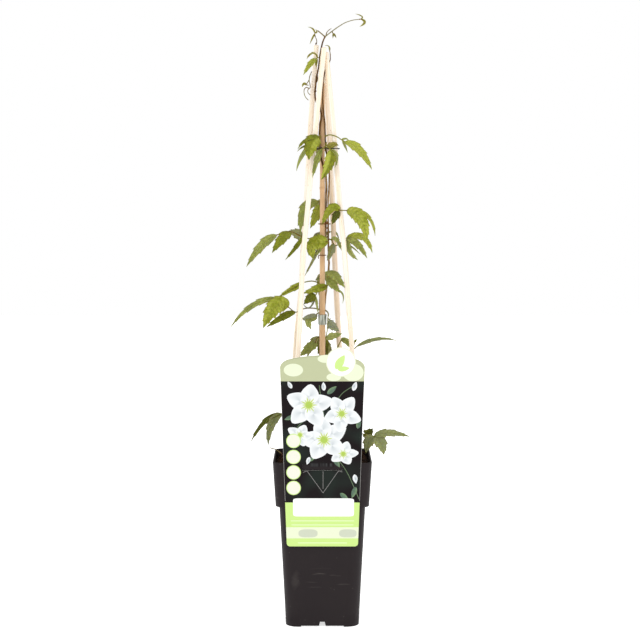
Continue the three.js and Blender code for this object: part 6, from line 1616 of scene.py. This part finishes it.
def make_leaves(look):
    """Each leaf is its stalks as tubes, the first out of its stem's middle, and its leaflets. What is
    drawn for a leaf has its number for a seed."""
    blade, stalk = leaf_blade(look), leaf_stalk(look)
    for number, (name, thickness, age, grows, stalks, leaflets) in enumerate(read_leaves()):
        draw = np.random.default_rng(100 + number)
        skin = Skin()
        if grows:
            stem, height = grows
            stalks[0].insert(0, stem_axis(stem, float(height)))
        radius = STALK_RADIUS[thickness]
        for rows in stalks:
            tube(skin, rows, (radius * 0.95, radius * 0.7), per_span=6, sides=10, swell=0.3, slot=1,
                 mark=(0.85 * (age == "fresh"), 0, 0, 1), relief=stalk_relief)
        for leaflet in leaflets:
            add_leaflet(skin, look, leaflet, draw)
        slot = "young_leaf" if name.startswith(("leaf_tip", "tendril", "leaf_crown_inner")) else "leaf"
        skin.piece(name + "_foliage", [blade, stalk], [name], slot, sharp=50)


# ---- stage

FLOOR_HALF, FLOOR_LEVEL = 6000, -0.02
# Softboxes: name, place and breadth in metres, share of the key light's power, height aimed at.
LAMPS = (
    ("key_softbox", (-1.3, -1.9, 1.9), 1.2, 1, 0.45), ("fill_softbox", (1.7, -1.5, 1.1), 1.4, 0.45, 0.4),
    ("top_softbox", (0.2, 0.5, 2.2), 1.2, 0.5, 0.5))
CAMERA_ASIDE = -0.003
FILM_WIDTH = 36


def make_stage(look):
    """The floor is a flat square of four faces. A lamp is turned down by the angle between its way and
    straight down, and round by its way's own heading."""
    scene = bpy.context.scene
    spread = np.array([-FLOOR_HALF, 0, FLOOR_HALF])
    x, y = np.meshgrid(spread, spread)
    grid = np.stack([x, y, np.full(x.shape, FLOOR_LEVEL)], axis=2)
    mesh = bpy.data.meshes.new("studio_floor")
    quads = [(corner, corner + 1, corner + 4, corner + 3) for corner in (0, 1, 3, 4)]
    mesh.from_pydata((grid.reshape(-1, 3) * MM).tolist(), [], quads)
    mesh.materials.append(pale_floor(look))
    floor = bpy.data.objects.new("studio_floor", mesh)
    scene.collection.objects.link(floor)

    # The backdrop is pure white to look at and lights the plant with the daylight's strength.
    world = bpy.data.worlds.new("studio_white")
    world.use_nodes = True
    world.node_tree.nodes.clear()
    add = functools.partial(node, world.node_tree)
    strength = add("MapRange", add("LightPath", out="Is Camera Ray"), 0, 1, look.daylight, 1.0)
    add("OutputWorld", add("Background", (1, 1, 1), strength))
    scene.world = world

    for name, place, breadth, share, aim in LAMPS:
        lamp = bpy.data.lights.new(name, "AREA")
        lamp.shape, lamp.size, lamp.energy = "DISK", breadth, look.key * share
        holder = bpy.data.objects.new(name, lamp)
        way = np.array((0, 0, aim)) - np.array(place)
        holder.location = place
        tilt = math.acos(-way[2] / np.linalg.norm(way))
        holder.rotation_euler = (tilt, 0, math.atan2(way[0], -way[1]) + math.pi)
        scene.collection.objects.link(holder)

    view = bpy.data.cameras.new("front_camera")
    view.lens, view.sensor_width, view.sensor_fit = look.lens, FILM_WIDTH, "HORIZONTAL"
    view.clip_start, view.clip_end = 0.05, 50
    camera = bpy.data.objects.new("front_camera", view)
    camera.location = (CAMERA_ASIDE, -look.distance, look.height)
    camera.rotation_euler = (math.pi / 2 - look.pitch, 0, 0)
    scene.collection.objects.link(camera)
    scene.camera = camera
    scene.view_settings.view_transform = "Standard"


# ---- operators and panel

class CLEMATIS_OT_stage(bpy.types.Operator):
    """Lay the pale floor, hang the soft lamps and set the camera"""
    bl_idname = "clematis.stage"
    bl_label = "Stage"

    def execute(self, context):
        make_stage(context.scene.clematis_stage)
        return {"FINISHED"}


class CLEMATIS_OT_pot(bpy.types.Operator):
    """Mould the square pot"""
    bl_idname = "clematis.pot"
    bl_label = "Pot"

    def execute(self, context):
        make_pot(context.scene.clematis_pot)
        return {"FINISHED"}


class CLEMATIS_OT_compost(bpy.types.Operator):
    """Fill the pot with compost, crumbs and fibres"""
    bl_idname = "clematis.compost"
    bl_label = "Compost"

    def execute(self, context):
        make_compost(context.scene.clematis_pot)
        return {"FINISHED"}


class CLEMATIS_OT_slats(bpy.types.Operator):
    """Set up the four slats"""
    bl_idname = "clematis.slats"
    bl_label = "Slats"

    def execute(self, context):
        make_slats(context.scene.clematis_support)
        return {"FINISHED"}


class CLEMATIS_OT_cane(bpy.types.Operator):
    """Set up the upright cane"""
    bl_idname = "clematis.cane"
    bl_label = "Cane"

    def execute(self, context):
        make_cane(context.scene.clematis_support)
        return {"FINISHED"}


class CLEMATIS_OT_ties(bpy.types.Operator):
    """Wind the wire tie, the clip, the ring and the tape"""
    bl_idname = "clematis.ties"
    bl_label = "Ties"

    def execute(self, context):
        make_ties(context.scene.clematis_support)
        return {"FINISHED"}


class CLEMATIS_OT_label(bpy.types.Operator):
    """Hang the printed label on the rim"""
    bl_idname = "clematis.label"
    bl_label = "Label"

    def execute(self, context):
        make_label(context.scene.clematis_label)
        return {"FINISHED"}


class CLEMATIS_OT_stems(bpy.types.Operator):
    """Grow the two woody stems and their shoots"""
    bl_idname = "clematis.stems"
    bl_label = "Stems"

    def execute(self, context):
        make_stems(context.scene.clematis_plant)
        return {"FINISHED"}


class CLEMATIS_OT_leaves(bpy.types.Operator):
    """Grow every compound leaf"""
    bl_idname = "clematis.leaves"
    bl_label = "Leaves"

    def execute(self, context):
        make_leaves(context.scene.clematis_plant)
        return {"FINISHED"}


class CLEMATIS_OT_twig(bpy.types.Operator):
    """Lay the dry twig over the pot's corner"""
    bl_idname = "clematis.twig"
    bl_label = "Twig"

    def execute(self, context):
        make_twig(context.scene.clematis_plant)
        return {"FINISHED"}


OPERATORS = (
    CLEMATIS_OT_stage, CLEMATIS_OT_pot, CLEMATIS_OT_compost, CLEMATIS_OT_slats, CLEMATIS_OT_cane,
    CLEMATIS_OT_ties, CLEMATIS_OT_label, CLEMATIS_OT_stems, CLEMATIS_OT_leaves, CLEMATIS_OT_twig)


class CLEMATIS_PT_panel(bpy.types.Panel):
    """The clematis's pieces and settings"""
    bl_idname = "CLEMATIS_PT_panel"
    bl_label = "Potted Clematis"
    bl_space_type = "VIEW_3D"
    bl_region_type = "UI"
    bl_category = "Clematis"

    def draw(self, context):
        for operator in OPERATORS:
            self.layout.operator(operator.bl_idname)
        for key, group in SETTINGS.items():
            box = self.layout.box()
            box.label(text=group.__doc__)
            for entry in group.__annotations__:
                box.prop(getattr(context.scene, key), entry)


def register():
    for kind in (*SETTINGS.values(), *OPERATORS, CLEMATIS_PT_panel):
        bpy.utils.register_class(kind)
    for key, group in SETTINGS.items():
        setattr(bpy.types.Scene, key, PointerProperty(type=group))


def unregister():
    for key in SETTINGS:
        delattr(bpy.types.Scene, key)
    for kind in (CLEMATIS_PT_panel, *reversed(OPERATORS), *reversed(SETTINGS.values())):
        bpy.utils.unregister_class(kind)


def main():
    """Registers the classes and calls the operators in order."""
    register()
    for operator in OPERATORS:
        group, name = operator.bl_idname.split(".")
        getattr(getattr(bpy.ops, group), name)()


if __name__ == "__main__":
    main()
